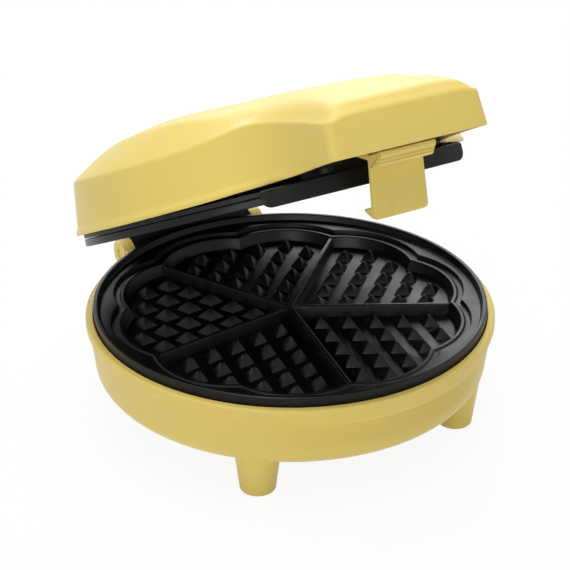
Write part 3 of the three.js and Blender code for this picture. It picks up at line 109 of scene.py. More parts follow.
RIM_TOP = LIP_TOP + 5.0
RING_TOP = RIM_TOP - 3.8
CAVITY_FLOOR = RING_TOP - 8.0
CAVITY_LIP = RING_TOP - 1.4
CHANNEL_FLOOR = RING_TOP - 2.2
PLATE_BOTTOM = CAVITY_FLOOR - 3.0
PLATE_BACK = RING_TOP - 3.8
SKIRT = LIP_TOP - 2.6
UPPER_RING = RING_TOP + 1.2
RIM_WIDTH = 2.4
RIM_FOOT = 3.3
CUP_RADIUS = RIM_RADIUS - 8.5
CUP_TAPER = 3.0
UPPER_RIM_RADIUS = RIM_RADIUS - 3.5
PLATE_FACETS = 360
LOBE_RADIUS = 39.0
LOBE_REACH = CUP_RADIUS - 4.0
LOBE_CENTRE = LOBE_REACH - LOBE_RADIUS
# Outside the lobes' edge, the channel's outer side and then its inner one, each at its top and foot
CHANNEL_OUTER = (5.2, 4.9)
CHANNEL_INNER = (1.7, 2.2)
CAVITY_DRAFT = 2.6
HEARTS = 5
HEART_WIDTH = 360 / HEARTS
LOBE_WIDTH = HEART_WIDTH / 2
HEART_TURN = -101.0
DIVIDER_HEIGHT = 6
DIVIDER_SINK = 1.5
DIVIDER_FOOT = 2.7
DIVIDER_TOP = 1.1
CELL_PITCH = 14.3
STUDS_PER_SIDE = 5
STUD_BEVEL = 0.35
BOSS_RADIUS = 4.0
BOSS_DROP = 9.0
SCREW_MIDDLE = CUP_RADIUS - 5.0
SCREW_PLACES = (2, 5, 8)
SCREW_HOLE = 2.1
SCREW_DEPTH = 7.0
COLUMN_RADIUS = 5.2
HEAD_BORE = 3.6
# Cutting tools: where they start below everything, and how far they reach to go right through
UNDERSIDE = -3.0
THROUGH = 60

LID_RADIUS = RIM_RADIUS - 1.0
LID_TOP_RADIUS = LID_RADIUS - 4.1
LID_EDGE = RIM_TOP + 3.8
LID_WALL = 2.2
LID_BEAD = 0.8
LID_BEAD_LOW = 1.7
LID_BEAD_HEIGHT = 3.8
LID_SOFT = 0.5
# The turns, in degrees, where the lid's round starts at the rear and ends at the handle's root
LID_REAR_TURN = 86.5
LID_ROOT_TURN = -52
HANDLE_REACH = LID_RADIUS + 43.0
HANDLE_HALF = 42.5
HANDLE_TAPER = 1.0
HANDLE_CORNER = 4.0
HANDLE_LIFT = 5.2
HANDLE_WAIST = 26
NOSE_ROUND = 1.2
# The share of the handle's reach where it ends and the slanted facet starts, and the facet's swell
HANDLE_END = -0.64
FACET_SWELL = 0.025
# From the lower edge up to the middle: the radii between the lid's faces, and each face's steps
LID_CORNERS = (0.5, 0.9, 1.4, 4.5)
LID_STEPS = (1, 1, 8, 14, 24)
HINGE_NOTCH_DEPTH = 15.5
HINGE_NOTCH_TOP = HINGE_Z + 23.2
LENS_Y = LID_RADIUS - 18.5
LENS_SPREAD = 11.0
LENS_RADIUS = 4.0
LENS_CUT = (LID_EDGE + 26, LID_EDGE + 104)

APRON_HALF = 56.0
APRON_FRONT = RIM_RADIUS + 4.5
APRON_BEND = 9.5
APRON_BOTTOM = LIP_TOP + 0.5
APRON_TOP = RIM_TOP + 4.2
APRON_WALL = 2.6
APRON_CORNER = 4.6
APRON_TOP_CORNER = 1.5

LATCH_FACE = -RIM_RADIUS - 25.7
LATCH_HALF = 14.6
LATCH_WALL = 2.5
LATCH_LEAN = 6.9
LATCH_CORNER = 2.8
LATCH_PIVOT_Y = -RIM_RADIUS - 4.0
LATCH_PIVOT_Z = RIM_TOP + 14.7
LATCH_EYE = 3.2
LATCH_BORE = 1.5
HOOK_TOP = BAND_BOTTOM - 1.0
HOOK_DEPTH = 6.0
HOOK_HEIGHT = 6.0
PAD_TOP = RIM_TOP + 8.6
PAD_REACH = 11.4
PAD_HEIGHT = 6.6
PAD_CHAMFER = 4.6
PAD_OVERHANG = 0.3
GROOVE_RADIUS = 0.8
GROOVE_PLACES = (0.35, 0.65)

# Along the lid, at places as shares of the handle's reach: heights over its lower edge of the side
# wall's top, the ridge and the middle; the slanted facet's width; how full the top is across;
# and how far the lower edge has risen towards the handle's
WALL_TOPS = (
    (-1, 21.9), (-0.925, 23.5), (-0.845, 25.5), (-0.764, 27.6), (-0.68, 29.8), (-0.62, 31.2),
    (-0.592, 31.5), (-0.549, 30.3), (-0.504, 28.7), (-0.443, 27.2), (-0.36, 26.4), (-0.175, 26.3),
    (0, 26.5), (0.11, 26.9), (0.3, 27.4), (0.7, 27.4),
)
RIDGES = (
    (-1, 22.8), (-0.925, 24.4), (-0.845, 26.4), (-0.764, 28.5), (-0.68, 30.7), (-0.63, 31.8),
    (-0.605, 32.2), (-0.564, 33.6), (-0.515, 35.6), (-0.454, 38.2), (-0.385, 40.4), (-0.29, 42.1),
    (-0.13, 41.8), (0.19, 41), (0.45, 41.5), (0.55, 41), (0.6, 39.5), (0.665, 35), (0.72, 27.5),
)
MIDDLES = (
    (-1, 24.1), (-0.985, 26.5), (-0.97, 29.2), (-0.93, 32), (-0.887, 34), (-0.81, 36.6), (-0.72, 39.5),
    (-0.57, 41.9), (-0.405, 43.8), (-0.234, 45.3), (0, 46.7), (0.275, 49.2), (0.42, 50.1),
    (0.52, 48.5), (0.6, 45), (0.665, 38.5), (0.72, 29),
)
FACET_WIDTHS = (
    (-0.64, 1.6), (-0.605, 4.6), (-0.564, 13.1), (-0.515, 18.3), (-0.454, 21.4), (-0.385, 23.3),
    (-0.29, 22.8), (-0.13, 22.7), (0.19, 25),
)
FULLNESS = ((-1, 9), (-0.88, 7), (-0.75, 4.5), (-0.62, 3), (-0.5, 2.4), (-0.3, 2.1), (0.7, 2.4))
EDGE_LIFTS = (
    (-1, 1), (-0.9, 0.93), (-0.81, 0.8), (-0.72, 0.62), (-0.63, 0.46), (-0.58, 0.38), (-0.5, 0.2),
    (-0.35, 0.07), (-0.2, 0),
)

# From the drawing's millimetres to the frame's metres, with the lid half open
REST_TURN = math.radians(-27.5)
pad_boxes = [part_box(name) for name in ("foot_pad_fl", "foot_pad_rr")]
MIDDLE_Y = sum(low.y + high.y for low, high in pad_boxes) / 4
BASE_PLACE = Matrix.Translation((0, MIDDLE_Y, 0)) @ Matrix.Scale(0.001, 4)
LID_PLACE = (
    BASE_PLACE
    @ Matrix.Translation((0, HINGE_Y, HINGE_Z))
    @ Matrix.Rotation(REST_TURN, 4, "X")
    @ Matrix.Translation((0, -HINGE_Y, -HINGE_Z))
)

# The camera, as the photograph sees the object
CAMERA_TURN = math.radians(-30.93)
CAMERA_RISE = math.radians(27.55)
CAMERA_DISTANCE = 0.9
CAMERA_AIM = Vector((0.0, MIDDLE_Y, 0.06))
CAMERA_SLIDE = (0.00276, -0.00635)
CAMERA_LENS = 107.71

# Soft lamps in metres and watts: name, place, aim, width, power
LAMPS = (
    ("key", (0.0, 0.15, 1.5), (0, 0, 0.1), 1.2, 17.0),
    ("fill", (-0.9, -1.0, 0.5), (0, 0, 0.1), 0.8, 4.5),
    ("back", (0.75, 1.3, 0.75), (0, 0, 0.15), 1.0, 7.0),
)
WHITE = (1, 1, 1, 1)
WORLD_LEVEL = 0.36
FLOOR_HALF = 4.0
FLOOR_TONE = (0.9, 0.9, 0.9, 1)
FLOOR_SEEN = 0.92

METAL = {"Metallic": 1.0}
CLEAR = {"Transmission_Weight": 0.6, "IOR": 1.49}
# Finishes: the tone, a second tone and that of rubbed edges, a lighter tone that is partly wear and partly
# a painted highlight;
# the scale of patches and of grain, the grain's depth in metres, roughness, its spread and the rubbing
# with its painted highlight; then other values of the shader
FINISH_VALUES = (
    ("yellow_plastic", (0xE0C86A, 0xDEC567, 0xEBD788), (14.0, 2600.0, 0.00003, 0.43, 0.04, 0.35),
     {"Specular_IOR_Level": 0.35, "Sheen_Weight": 0.08, "Sheen_Roughness": 0.4}),
    ("black_plastic", (0x0F0F0E, 0x151514, 0x2C2C2A), (30.0, 2200.0, 0.00006, 0.45, 0.1, 0.4),
     {"Specular_IOR_Level": 0.2}),
    ("coated_aluminium", (0x0A0A0A, 0x0F0F0F, 0x28282C), (60.0, 3000.0, 0.00003, 0.32, 0.08, 0.5),
     {"Specular_IOR_Level": 0.22}),
    ("bare_steel", (0xB4B6B8, 0xA6A8AB, 0xD0D2D4), (120.0, 3500.0, 0.00002, 0.32, 0.12, 0.3), METAL),
    ("reflector_sheet", (0xC2C4C6, 0xB2B4B7, 0xD8D9DB), (25.0, 1800.0, 0.00003, 0.45, 0.15, 0.2), METAL),
    ("foot_rubber", (0x3A3A38, 0x30302F, 0x4A4A48), (60.0, 1500.0, 0.00008, 0.8, 0.1, 0.2), {}),
    ("ivory_plastic", (0xE6DFCC, 0xDDD5C0, 0xF0EBDD), (50.0, 2000.0, 0.00004, 0.5, 0.08, 0.3), {}),
    ("red_lens", (0xB3201C, 0xA31914, 0xD05048), (80.0, 3000.0, 0.00001, 0.15, 0.04, 0.1), CLEAR),
    ("green_lens", (0x1F8A3C, 0x187A32, 0x50B068), (80.0, 3000.0, 0.00001, 0.15, 0.04, 0.1), CLEAR),
    ("lead_cover", (0x8A8D90, 0x7E8184, 0x9A9DA0), (200.0, 2500.0, 0.00004, 0.6, 0.1, 0.1), {}),
)
BUMP_STRENGTH = 0.35
BREAK_SCALE = 200.0

# How the solids are softened, in radians and metres
CREASE_ANGLE = math.radians(32)
WELD_DISTANCE = 0.000002

# Ends that the photograph doesn't show as bare metal: the hinge pins painted yellow, and the front screws
# dark as painted shade in the recess under the handle
OTHER_FINISHES = {
    # The front screws' dark finish is painted shade for the recess under the handle
    "lid_front_screw_left": "black_plastic",
    "lid_front_screw_right": "black_plastic",
    "hinge_pin_left": "yellow_plastic",
    "hinge_pin_right": "yellow_plastic",
}


# Camera and lamps


def link_new(name, data):
    """A new object in the scene for a mesh, a lamp or a camera."""
    item = bpy.data.objects.new(name, data)
    bpy.context.scene.collection.objects.link(item)
    return item


def photo_camera():
    """A camera at the photograph's viewing angle."""
    ahead, aside, level = math.cos(CAMERA_TURN), math.sin(CAMERA_TURN), math.cos(CAMERA_RISE)
    back = Vector((aside * level, -ahead * level, math.sin(CAMERA_RISE)))
    right = Vector((ahead, aside, 0.0))
    up = back.cross(right)
    spot = CAMERA_AIM + back * CAMERA_DISTANCE - right * CAMERA_SLIDE[0] - up * CAMERA_SLIDE[1]
    data = bpy.data.cameras.new("photo_camera")
    data.lens = CAMERA_LENS
    data.sensor_width = 36.0
    data.clip_start = 0.05
    data.clip_end = 20.0
    camera = link_new("photo_camera", data)
    turn = Matrix((right, up, back)).transposed().to_4x4()
    camera.matrix_world = Matrix.Translation(spot) @ turn
    bpy.context.scene.camera = camera


def softbox(name, place, aim, width, watts):
    """A large soft lamp that faces a point."""
    data = bpy.data.lights.new(name, "AREA")
    data.shape = "DISK"
    data.size = width
    data.energy = watts
    lamp = link_new(name, data)
    lamp.location = place
    lamp.rotation_mode = "QUATERNION"
    lamp.rotation_quaternion = (Vector(aim) - Vector(place)).to_track_quat("-Z", "Y")


# Node helpers


def feed(tree, node, sockets):
    """Links or sets a node's inputs, named, or numbered as i0, i1 and so on."""
    for key, value in sockets.items():
        numbered = key[0] == "i" and key[1:].isdigit()
        socket = node.inputs[int(key[1:]) if numbered else key.replace("_", " ")]
        if isinstance(value, bpy.types.NodeSocket):
            tree.links.new(value, socket)
        else:
            socket.default_value = value


def add(tree, kind, settings=None, **sockets):
    """Adds a node and gives its outputs; a kind without a family's name is a shader node."""
    node = tree.nodes.new(kind if "Node" in kind else "ShaderNode" + kind)
    for key, value in (settings or {}).items():
        setattr(node, key, value)
    feed(tree, node, sockets)
    return node.outputs


def new_tree(name, inputs, outputs=(("Geometry", "Geometry"),), kind="Geometry"):
    """A node group: its tree, its given values, its output node and its inputs' values by socket."""
    tree = bpy.data.node_groups.new(name, kind + "NodeTree")
    values = {}
    for label, value_kind, *value in inputs:
        socket = tree.interface.new_socket(label, in_out="INPUT", socket_type="NodeSocket" + value_kind)
        if value:
            socket.default_value = value[0]
            values[socket.identifier] = value[0]
    for label, value_kind in outputs:
        tree.interface.new_socket(label, in_out="OUTPUT", socket_type="NodeSocket" + value_kind)
    given = tree.nodes.new("NodeGroupInput").outputs
    return tree, given, tree.nodes.new("NodeGroupOutput"), values


def reckon(tree, operation, first, second, clamp=False):
    settings = {"operation": operation, "use_clamp": clamp}
    return add(tree, "Math", settings, i0=first, i1=second)[0]


def rising(tree, value, low, high):
    """0 up to the low value, 1 from the high one."""
    return add(tree, "MapRange", i0=value, i1=low, i2=high)[0]


def mix_colour(tree, share, first, second):
    return add(tree, "Mix", {"data_type": "RGBA"}, i0=share, i6=first, i7=second)[2]


def combine(tree, x=0.0, y=0.0, z=0.0):
    return add(tree, "CombineXYZ", i0=x, i1=y, i2=z)[0]


# Finishes


def colour(code):
    """A linear colour from an sRGB hex number."""
    parts = [((code >> shift) & 255) / 255 for shift in (16, 8, 0)]
    return (*[p / 12.92 if p <= 0.04045 else ((p + 0.055) / 1.055) ** 2.4 for p in parts], 1.0)


def surface_group():
    """Mottled colour, uneven gloss and a fine grain, for moulded and coated surfaces."""
    inputs = [
        ("Vector", "Vector"), ("Colour", "Color"), ("Second Colour", "Color"), ("Patch Scale", "Float"),
        ("Grain Scale", "Float"), ("Roughness", "Float"), ("Roughness Spread", "Float"),
    ]
    outputs = [("Colour", "Color"), ("Roughness", "Float"), ("Height", "Float")]
    tree, given, out, _ = new_tree("moulded_surface", inputs, outputs, "Shader")
    place, fine = given["Vector"], given["Grain Scale"]
    patch = add(tree, "TexNoise", Vector=place, Scale=given["Patch Scale"], Detail=3.0)[0]
    grain = add(tree, "TexNoise", Vector=place, Scale=fine, Detail=2.0)[0]
    pits = add(tree, "TexVoronoi", Vector=place, Scale=fine)["Distance"]
    share = rising(tree, patch, 0.35, 0.65)
    spread = reckon(tree, "MULTIPLY", reckon(tree, "SUBTRACT", share, 0.5), given["Roughness Spread"])
    feed(tree, out, {
        "Colour": mix_colour(tree, share, given["Colour"], given["Second Colour"]),
        "Roughness": reckon(tree, "ADD", given["Roughness"], spread),
        "Height": reckon(tree, "ADD", grain, pits),
    })
    return tree


def edge_wear_and_highlight_group():
    """A mask of rubbed edges, broken up by noise: the convex edges get a lighter tone, partly wear and
    partly a painted highlight.
    """
    inputs = [("Vector", "Vector"), ("Amount", "Float"), ("Break Scale", "Float")]
    tree, given, out, _ = new_tree("rubbed_and_highlit_edges", inputs, [("Mask", "Float")], "Shader")
    place, scale = given["Vector"], given["Break Scale"]
    noise = add(tree, "TexNoise", Vector=place, Scale=scale, Detail=4.0)[0]
    # Convex edges by pointiness: here the lighter tone is wear and also a painted highlight
    ridge = rising(tree, add(tree, "NewGeometry")["Pointiness"], 0.51, 0.58)
    mask = reckon(tree, "MULTIPLY", ridge, rising(tree, noise, 0.4, 0.6))
    feed(tree, out, {"Mask": reckon(tree, "MULTIPLY", mask, given["Amount"], clamp=True)})
    return tree


SURFACE = surface_group()
# The rubbed edges' mask paints a highlight on the convex edges as well as wear
EDGES = edge_wear_and_highlight_group()


def finish_material(name, tones, values, others):
    """A moulded, coated or metal finish, from a row of the finishes' values."""
    tone, second, rubbed_and_highlit_tone = map(colour, tones)
    patch, grain, depth, rough, spread, rub_and_highlight = values
    material = bpy.data.materials.new(name)
    material.use_nodes = True
    tree = material.node_tree
    place = add(tree, "TexCoord")["Object"]
    skin = add(tree, "Group", {"node_tree": SURFACE}, Vector=place, Colour=tone,
               Second_Colour=second, Patch_Scale=patch, Grain_Scale=grain, Roughness=rough,
               Roughness_Spread=spread)
    # Rubbed edges: a lighter tone on the convex edges, partly wear and partly a painted highlight
    worn_and_highlit = add(tree, "Group", {"node_tree": EDGES}, Vector=place, Amount=rub_and_highlight,
               Break_Scale=BREAK_SCALE)
    bump = add(tree, "Bump", Height=skin["Height"], Strength=BUMP_STRENGTH, Distance=depth)[0]
    feed(tree, tree.nodes["Principled BSDF"], {
        "Base_Color": mix_colour(tree, worn_and_highlit["Mask"], skin["Colour"], rubbed_and_highlit_tone),
        "Roughness": skin["Roughness"],
        "Normal": bump,
        **others,
    })
    return material


FINISHES = {row[0]: finish_material(*row) for row in FINISH_VALUES}


def show(item, finish, body=None):
    """Gives a piece its finish and, where it is new, its body."""
    item.data.materials.clear()
    item.data.materials.append(FINISHES[finish])
    if body:
        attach(item, body)


# Curves and outlines


def lerp(first, second, share):
    return first + (second - first) * share


def straight(first, last):
    """A straight curve from one point to another."""
    return lambda t: first.lerp(last, t)


def smoothstep(value, low, high):
    t = min(max((value - low) / (high - low), 0.0), 1.0)
    return t * t * (3 - 2 * t)


def curve_through(table):
    """A smooth curve through a list of (place, value), with no overshoot between them."""
    xs = [float(x) for x, _ in table]
    ys = [float(y) for _, y in table]
    steps = [(ys[i + 1] - ys[i]) / (xs[i + 1] - xs[i]) for i in range(len(xs) - 1)]
    slopes = [steps[0]]
    for before, after in zip(steps, steps[1:]):
        slopes.append(0.0 if before * after <= 0 else 2 * before * after / (before + after))
    slopes.append(steps[-1])

    def value(place):
        if place <= xs[0]:
            return ys[0]
        for i in range(len(xs) - 1):
            if place <= xs[i + 1]:
                wide = xs[i + 1] - xs[i]
                t = (place - xs[i]) / wide
                return (
                    (1 + 2 * t) * (1 - t) ** 2 * ys[i] + t * (1 - t) ** 2 * wide * slopes[i]
                    + t * t * (3 - 2 * t) * ys[i + 1] - t * t * (1 - t) * wide * slopes[i + 1]
                )
        return ys[-1]

    return value


def bend(first, corner, last, steps):
    """Points on a rounded corner, ends included."""
    points = []
    for k in range(steps + 1):
        t = k / steps
        points.append(first.lerp(corner, t).lerp(corner.lerp(last, t), t))
    return points


def corners(*places):
    """Corners for a rounded path, each given as its two coordinates and its radius."""
    return [(Vector((first, second)), radius) for first, second, radius in places]


def rounded(path_corners, steps=4):
    """A path through (point, radius) corners, each rounded by about its radius."""
    path = []
    for i, (point, radius) in enumerate(path_corners):
        if not radius:
            path.append(point)
            continue
        ends = []
        for other in (path_corners[i - 1][0], path_corners[(i + 1) % len(path_corners)][0]):
            way = other - point
            ends.append(point + way * min(radius / max(way.length, 1e-9), 0.48))
        path += bend(ends[0], point, ends[1], steps)
    return path


def arc(x, y, radius, start, stop, steps):
    """Points on an arc, with its angles in degrees."""
    angles = [math.radians(lerp(start, stop, i / steps)) for i in range(steps + 1)]
    return [(x + radius * math.cos(a), y + radius * math.sin(a)) for a in angles]


def low_corners(half, low, radius, steps):
    """The two rounded lower corners of a piece seen from the front."""
    return [
        *arc(radius - half, low + radius, radius, 180, 270, steps),
        *arc(half - radius, low + radius, radius, 270, 360, steps),
    ]


# Shapes: lists of points and faces in drawing units


def swept(section_at, facets):
    """A section that changes with the angle, swept round; it starts and ends on the axis."""
    points, faces = [], []
    sections = [section_at(360 * i / facets) for i in range(facets)]
    count = len(sections[0]) - 2
    for i, section in enumerate(sections):
        a = 2 * math.pi * i / facets
        points += [(p.x * math.sin(a), -p.x * math.cos(a), p.y) for p in section[1:-1]]
        for k in range(count - 1):
            here, there = i * count + k, ((i + 1) % facets) * count + k
            faces.append((here, there, there + 1, here + 1))
    first, last = facets * count, facets * count + 1
    points += [(0, 0, sections[0][0].y), (0, 0, sections[0][-1].y)]
    for i in range(facets):
        here, there = i * count, ((i + 1) % facets) * count
        faces.append((first, there, here))
        faces.append((last, here + count - 1, there + count - 1))
    return points, faces


def turned(profile, facets=48):
    """A (radius, height) profile turned round the upright axis; it starts and ends on the axis."""
    section = [Vector((r, z)) for r, z in profile]
    return swept(lambda angle: section, facets)


def moved(shape, shift=(0, 0, 0), turn=None):
    points, faces = shape
    matrix = Matrix.Translation(shift) @ (turn.to_4x4() if turn else Matrix())
    return [tuple(matrix @ Vector(p)) for p in points], faces


def upright(x, y, low, high, radius, facets=32):
    """An upright rod."""
    return moved(turned([(0, low), (radius, low), (radius, high), (0, high)], facets), (x, y, 0))


def rod(start, turn, length, radius, facets):
    """A rod from its start, turned out of the upright."""
    profile = [(0, 0), (radius, 0), (radius, length), (0, length)]
    return moved(turned(profile, facets), start, turn)


def crossing(y, z, half, radius, facets=32):
    """A rod from side to side, along X."""
    return rod((-half, y, z), Matrix.Rotation(math.pi / 2, 3, "Y"), 2 * half, radius, facets)


def backward(y, z, length, radius, facets=48):
    """A rod in the middle plane that points to the rear, along Y."""
    return rod((0, y, z), Matrix.Rotation(-math.pi / 2, 3, "X"), length, radius, facets)


def prism(outline, half, axes):
    """An outline of two coordinates made thick in the third; axes names the three in order."""
    points, count = [], len(outline)
    for level in (-half, half):
        for first, second in outline:
            spot = [0.0, 0.0, 0.0]
            spot[axes[0]], spot[axes[1]], spot[axes[2]] = first, second, level
            points.append(tuple(spot))
    faces = [tuple(range(count)), tuple(range(count, 2 * count))]
    faces += [(i, (i + 1) % count, count + (i + 1) % count, count + i) for i in range(count)]
    return points, faces


def edged(outline, half, axes, soft=0.6, steps=4):
    """An outline made thick, with the edges of both its ends rounded."""
    count = len(outline)
    area = sum(outline[i - 1].cross(outline[i]) for i in range(count))
    side = 1 if area > 0 else -1
    inward = []
    for i, point in enumerate(outline):
        before = (point - outline[i - 1]).normalized()
        after = (outline[(i + 1) % count] - point).normalized()
        way = (before + after).normalized()
        inward.append(Vector((-way.y, way.x)) * side / max(way.dot(after), 0.6))
    levels = []
    for k in range(steps + 1):
        turn = math.pi / 2 * k / steps
        levels.append((soft * (1 - math.cos(turn)) - half, soft * (1 - math.sin(turn))))
    levels += [(-level, inset) for level, inset in reversed(levels)]
    points, faces = [], []
    for level, inset in levels:
        for point, way in zip(outline, inward):
            spot = [0.0, 0.0, 0.0]
            spot[axes[0]], spot[axes[1]] = point + way * inset
            spot[axes[2]] = level
            points.append(tuple(spot))
    for row in range(len(levels) - 1):
        here, there = row * count, (row + 1) * count
        for i in range(count):
            after = (i + 1) % count
            faces.append((here + i, here + after, there + after, there + i))
    faces.append(tuple(range(count)))
    faces.append(tuple(range(len(points) - count, len(points))))
    return points, faces


def block(low, high):
    outline = [(low[0], low[1]), (high[0], low[1]), (high[0], high[1]), (low[0], high[1])]
    shape = prism(outline, (high[2] - low[2]) / 2, (0, 1, 2))
    return moved(shape, (0, 0, (low[2] + high[2]) / 2))


def joined(*shapes):
    points, faces = [], []
    for some_points, some_faces in shapes:
        start = len(points)
        points += list(some_points)
        faces += [tuple(start + i for i in face) for face in some_faces]
    return points, faces


# Pieces: objects made from shapes


def mend(mesh):
    """Merges double points, drops slivers and turns the faces outwards."""
    work = bmesh.new()
    work.from_mesh(mesh)
    bmesh.ops.remove_doubles(work, verts=work.verts, dist=1e-4)
    bmesh.ops.dissolve_degenerate(work, edges=work.edges, dist=1e-5)
    bmesh.ops.recalc_face_normals(work, faces=work.faces)
    work.to_mesh(mesh)
    work.free()


def build(name, points, faces):
    """A piece from points and faces, with its faces turned outwards."""
    mesh = bpy.data.meshes.new(name)
    mesh.from_pydata([Vector(p) for p in points], [], faces)
    mend(mesh)
    return link_new(name, mesh)


def shape_of(item):
    """The points and faces of a piece, which is then deleted."""
    mesh = item.data
    shape = ([tuple(v.co) for v in mesh.vertices], [tuple(f.vertices) for f in mesh.polygons])
    bpy.data.meshes.remove(mesh)
    return shape


def settle(item):
    """Turns an object with live modifiers into a plain mesh."""
    made = bpy.data.meshes.new_from_object(item.evaluated_get(bpy.context.evaluated_depsgraph_get()))
    old = item.data
    item.modifiers.clear()
    item.data = made
    bpy.data.meshes.remove(old)
    return item


def carve(item, shape, operation="DIFFERENCE"):
    """Cuts a shape from a piece in drawing units, adds it, or keeps what lies within it."""
    tool = build("tool", *shape)
    step = item.modifiers.new("carve", "BOOLEAN")
    step.operation = operation
    step.solver = "MANIFOLD"
    step.object = tool
    settle(item)
    bpy.data.meshes.remove(tool.data)


def trim(item, front, y):
    """Keeps what lies within an outline seen from the front."""
    carve(item, moved(prism(front, 30, (0, 2, 1)), (0, y, 0)), "INTERSECT")


def placed(item, place):
    """Moves a piece's points from drawing units to the frame."""
    item.data.transform(place)
    return item


def shade(item, degrees=32.0):
    """Smooth shading, with creases kept at edges sharper than an angle."""
    limit = math.radians(degrees)
    work = bmesh.new()
    work.from_mesh(item.data)
    for face in work.faces:
        face.smooth = True
    for edge in work.edges:
        edge.smooth = len(edge.link_faces) == 2 and edge.calc_face_angle(0.0) < limit
    work.to_mesh(item.data)
    work.free()
    return item


def weigh(item):
    """Lets the large faces settle the shading next to rounded edges."""
    step = item.modifiers.new("weigh", "WEIGHTED_NORMAL")
    step.keep_sharp = True
    step.weight = 90
    return settle(item)


def run_tree(item, name, tree, values):
    """Puts a geometry tree on a piece, with the values of its inputs."""
    step = item.modifiers.new(name, "NODES")
    step.node_group = tree
    for identifier, value in values.items():
        step[identifier] = value


def grown(name, tree, values):
    """Runs a geometry tree on an empty piece and keeps the plain mesh."""
    item = link_new(name, bpy.data.meshes.new(name))
    run_tree(item, name, tree, values)
    return settle(item)


# Nodes that several geometry trees use


def position(tree):
    return add(tree, "GeometryNodeInputPosition")[0]


def copied(tree, points, instance, **sockets):
    return add(tree, "GeometryNodeInstanceOnPoints", Points=points, Instance=instance, **sockets)[0]


def shifted(tree, geometry, **sockets):
    return add(tree, "GeometryNodeTransform", Geometry=geometry, **sockets)[0]


def end_tree(tree, out, geometry, finish):
    """Makes the copies real and gives them their finish."""
    real = add(tree, "GeometryNodeRealizeInstances", i0=geometry)[0]
    coated = add(tree, "GeometryNodeSetMaterial", Geometry=real, Material=finish)[0]
    feed(tree, out, {"Geometry": coated})


# Base shell


def base_section(angle):
    # 1 under the latch, 0 round the sides and the back
    front = 1 - smoothstep(min(angle, 360 - angle), SCOOP_FULL, SCOOP_END)
    band = LIP_TOP - lerp(BAND_DEPTH, FRONT_BAND_DEPTH, front)
    scoop = SCOOP_DEPTH * front
    scoop_end = BAND_BOTTOM - SCOOP_DROP
    slope = (WALL_TOP_RADIUS - WALL_LOW_RADIUS) / (LIP_TOP - BAND_DEPTH - WALL_LOW)
    seat = LIP_TOP - PLATE_SEAT

    def wall(z, inset):
        return WALL_LOW_RADIUS + slope * (z - WALL_LOW) - inset

    def hollowed(inset, steps):
        path = []
        for k in range(steps + 1):
            t = k / steps
            z = lerp(scoop_end, band, t)
            path.append(Vector((wall(z, inset) - scoop * smoothstep(t, 0, 1) ** SCOOP_CURVE, z)))
        return path

    outer = hollowed(0.0, 14)
    inner = hollowed(BASE_WALL, 4)[::-1] + base_corner(BASE_WALL, 5)[::-1]
    path = corners((0, FLOOR_HEIGHT, 0)) + [(p, 0) for p in base_corner(0.0, 16) + outer[:-1]]
    path.append((outer[-1], 0.5))
    path += corners(
        (LIP_RADIUS, band, 1.1), (LIP_RADIUS, LIP_TOP, 1.5), (POCKET_RADIUS, LIP_TOP, 0.5),
        (POCKET_RADIUS, seat, 0), (wall(band, BASE_WALL) - scoop, seat, 0),
    )
    return rounded(path + [(p, 0) for p in inner] + corners((0, FLOOR_HEIGHT + BASE_WALL, 0)))


def base_corner(inset, steps):
    """The bend from the base's floor up to its wall, moved in by a distance."""
    low, wall = FLOOR_HEIGHT + inset, WALL_LOW_RADIUS - inset
    return bend(Vector((FLOOR_RADIUS, low)), Vector((wall, low)), Vector((wall, WALL_LOW)), steps)


def notch(place, radius):
    """The spot between two lobes of the plate, where its screws are."""
    a = math.radians(HEART_TURN + place * LOBE_WIDTH)
    return radius * math.cos(a), radius * math.sin(a)


def foot_shape(x, y):
    profile = rounded(corners(
        (0, FOOT_LOW, 0), (FOOT_LOW_RADIUS, FOOT_LOW, FOOT_ROUND), (FOOT_TOP_RADIUS, WALL_LOW, 0),
        (0, WALL_LOW, 0),
    ), 6)
    return moved(turned(profile, 64), (x, y, 0))


def ear_shape(side):
    near, far = HINGE_Y - EAR_RADIUS, HINGE_Y - EAR_ROOT
    outline = [
        (far, HINGE_Z - EAR_ROOT - EAR_RADIUS), (near, HINGE_Z - EAR_ROOT),
        *arc(HINGE_Y, HINGE_Z, EAR_RADIUS, -50, 180, 28), (near, EAR_TOP), (far, EAR_TOP),
    ]
    shape = prism(outline, EAR_THICKNESS / 2, (1, 2, 0))
    return moved(shape, (side * (EAR_INNER + EAR_THICKNESS / 2), 0, 0))


def air_slots():
    """The ring of air slots under the base, as one cutting tool."""
    tree, given, out, values = new_tree("air_slots", [
        ("Count", "Int", SLOTS), ("Ring Radius", "Float", SLOT_RING), ("Length", "Float", SLOT_LENGTH),
        ("Width", "Float", SLOT_WIDTH), ("Height", "Float", SLOT_HEIGHT),
        ("Level", "Float", FLOOR_HEIGHT),
    ])
    ring = add(tree, "GeometryNodeMeshCircle", {"fill_type": "NONE"}, Vertices=given["Count"],
               Radius=given["Ring Radius"])["Mesh"]
    size = combine(tree, given["Length"], given["Width"], given["Height"])
    bar = add(tree, "GeometryNodeMeshCube", Size=size)["Mesh"]
    outwards = add(tree, "FunctionNodeAlignRotationToVector", {"axis": "X"}, Vector=position(tree))[0]
    bars = copied(tree, ring, bar, Rotation=outwards)
    level, turn = combine(tree, z=given["Level"]), (0, 0, math.pi / SLOTS)
    bars = shifted(tree, bars, Translation=level, Rotation=turn)
    end_tree(tree, out, bars, FINISHES["yellow_plastic"])
    return shape_of(grown("air_slots", tree, values))


